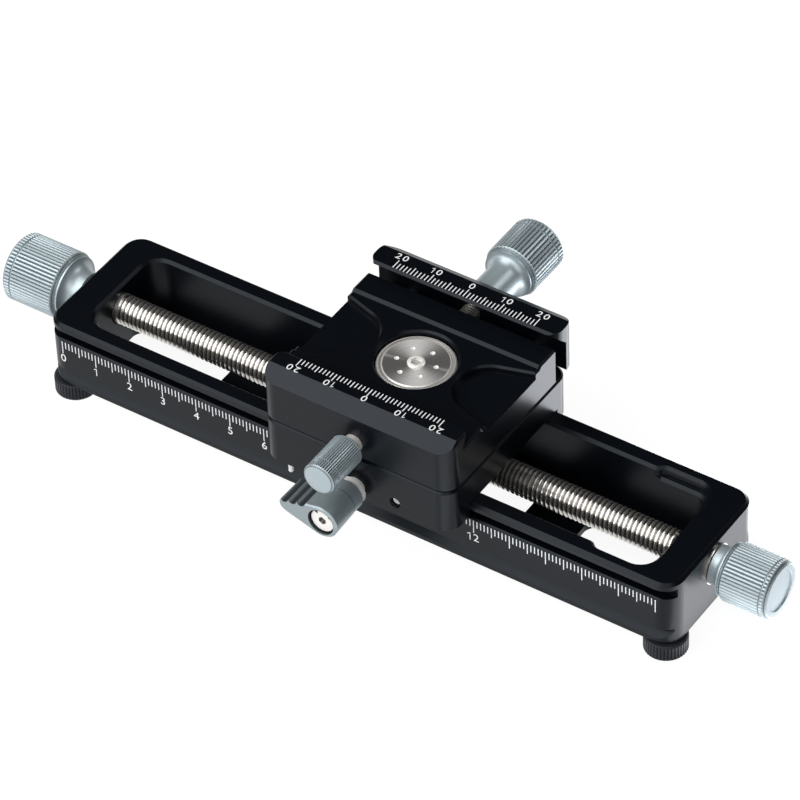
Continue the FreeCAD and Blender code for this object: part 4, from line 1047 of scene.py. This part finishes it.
def area_lamp(name, direction, distance, size, energy, colour=(1, 1, 1)):
    """Square lamp that faces the rail's middle."""
    data = bpy.data.lights.new(name, "AREA")
    data.shape = "SQUARE"
    data.size = size
    data.energy = energy
    data.color = colour
    lamp = bpy.data.objects.new(name, data)
    bpy.context.scene.collection.objects.link(lamp)
    away = Vector(direction).normalized()
    lamp.location = away * distance
    lamp.rotation_mode = "QUATERNION"
    lamp.rotation_quaternion = away.to_track_quat("Z", "Y")
    return lamp


def table_card(name, place, size, brightness):
    """Small bright card on the floor, facing up, that the rail's sides reflect."""
    width, depth = size
    card = area_lamp(name, (0, 0, 1), 1.0, width, brightness * math.pi * width * depth, CARD_TINT)
    card.data.shape = "RECTANGLE"
    card.data.size_y = depth
    card.location = (*place, CAD_BOX[0].z)
    card.rotation_quaternion = (0, 1, 0, 0)
    card.visible_camera = False


class RAIL_OT_studio(bpy.types.Operator):
    """Set the camera, the pale floor and the lamps"""
    bl_idname = "rail.studio"
    bl_label = "Studio"

    def execute(self, context):
        studio = settings().rail_studio
        scene = context.scene
        scene.view_settings.view_transform = "Standard"
        self.camera(scene, studio)
        self.floor(studio)
        for lamp in LAMPS:
            area_lamp(*lamp)
        for card in CARDS:
            table_card(*card)
        world = bpy.data.worlds.new("studio_world")
        world.use_nodes = True
        background = world.node_tree.nodes["Background"].inputs
        background["Color"].default_value = (1, 1, 1, 1)
        background["Strength"].default_value = studio.world
        scene.world = world
        return {"FINISHED"}

    @staticmethod
    def camera(scene, studio):
        """Camera that looks at the target, tilted by the roll."""
        azimuth, elevation, roll = studio.azimuth, studio.elevation, studio.roll
        back = Vector((math.sin(azimuth) * math.cos(elevation),
                       -math.cos(azimuth) * math.cos(elevation),
                       math.sin(elevation)))
        level = Vector((math.cos(azimuth), math.sin(azimuth), 0))
        rise = back.cross(level)
        right = level * math.cos(roll) + rise * math.sin(roll)
        up = rise * math.cos(roll) - level * math.sin(roll)
        data = bpy.data.cameras.new("camera")
        data.lens = studio.lens
        data.sensor_width = 36.0
        data.clip_start = 0.05
        data.clip_end = 20.0
        camera = bpy.data.objects.new("camera", data)
        scene.collection.objects.link(camera)
        turn = Matrix((right, up, back)).transposed().to_4x4()
        camera.matrix_world = Matrix.Translation(Vector(studio.target) + back * studio.distance) @ turn
        scene.camera = camera

    @staticmethod
    def floor(studio):
        """Large pale floor under the feet."""
        level = CAD_BOX[0].z - 0.02 * MM
        bm = bmesh.new()
        bmesh.ops.create_grid(bm, x_segments=1, y_segments=1, size=4.0)
        bmesh.ops.translate(bm, vec=(0, 0, level), verts=bm.verts)
        mesh = bpy.data.meshes.new("floor")
        bm.to_mesh(mesh)
        bm.free()
        mesh.materials.append(studio_floor("floor_white", studio.floor))
        floor = bpy.data.objects.new("floor", mesh)
        bpy.context.scene.collection.objects.link(floor)


class RAIL_PT_panel(bpy.types.Panel):
    """Lists the pieces and their settings"""
    bl_idname = "RAIL_PT_panel"
    bl_label = "Macro focusing rail"
    bl_space_type = "VIEW_3D"
    bl_region_type = "UI"
    bl_category = "Rail"

    def draw(self, context):
        layout = self.layout
        for operator in OPERATORS:
            layout.operator(operator.bl_idname)
        for name in GROUPS:
            group = getattr(context.scene, name)
            box = layout.box()
            for key in group.__annotations__:
                box.prop(group, key)


GROUPS = {
    "rail_threads": RailThreads,
    "rail_knurls": RailKnurls,
    "rail_scales": RailScales,
    "rail_finishes": RailFinishes,
    "rail_studio": RailStudio,
}
OPERATORS = (RAIL_OT_finishes, RAIL_OT_lead_screw, RAIL_OT_clamp_screw, RAIL_OT_knobs, RAIL_OT_pan_knob,
             RAIL_OT_feet, RAIL_OT_lock_stud, RAIL_OT_screws, RAIL_OT_rail_scale, RAIL_OT_jaw_scales,
             RAIL_OT_studio)


def register():
    """Add the classes and the scene's settings."""
    for group in GROUPS.values():
        bpy.utils.register_class(group)
    for name, group in GROUPS.items():
        setattr(bpy.types.Scene, name, bpy.props.PointerProperty(type=group))
    for operator in OPERATORS:
        bpy.utils.register_class(operator)
    bpy.utils.register_class(RAIL_PT_panel)


def unregister():
    """Take the classes and the settings away."""
    bpy.utils.unregister_class(RAIL_PT_panel)
    for operator in reversed(OPERATORS):
        bpy.utils.unregister_class(operator)
    for name, group in GROUPS.items():
        delattr(bpy.types.Scene, name)
        bpy.utils.unregister_class(group)


def main():
    """Dress the rail and light it."""
    register()
    bpy.ops.rail.finishes()
    bpy.ops.rail.lead_screw()
    bpy.ops.rail.clamp_screw()
    bpy.ops.rail.knobs()
    bpy.ops.rail.pan_knob()
    bpy.ops.rail.feet()
    bpy.ops.rail.lock_stud()
    bpy.ops.rail.screws()
    bpy.ops.rail.rail_scale()
    bpy.ops.rail.jaw_scales()
    bpy.ops.rail.studio()


if __name__ == "__main__":
    main()
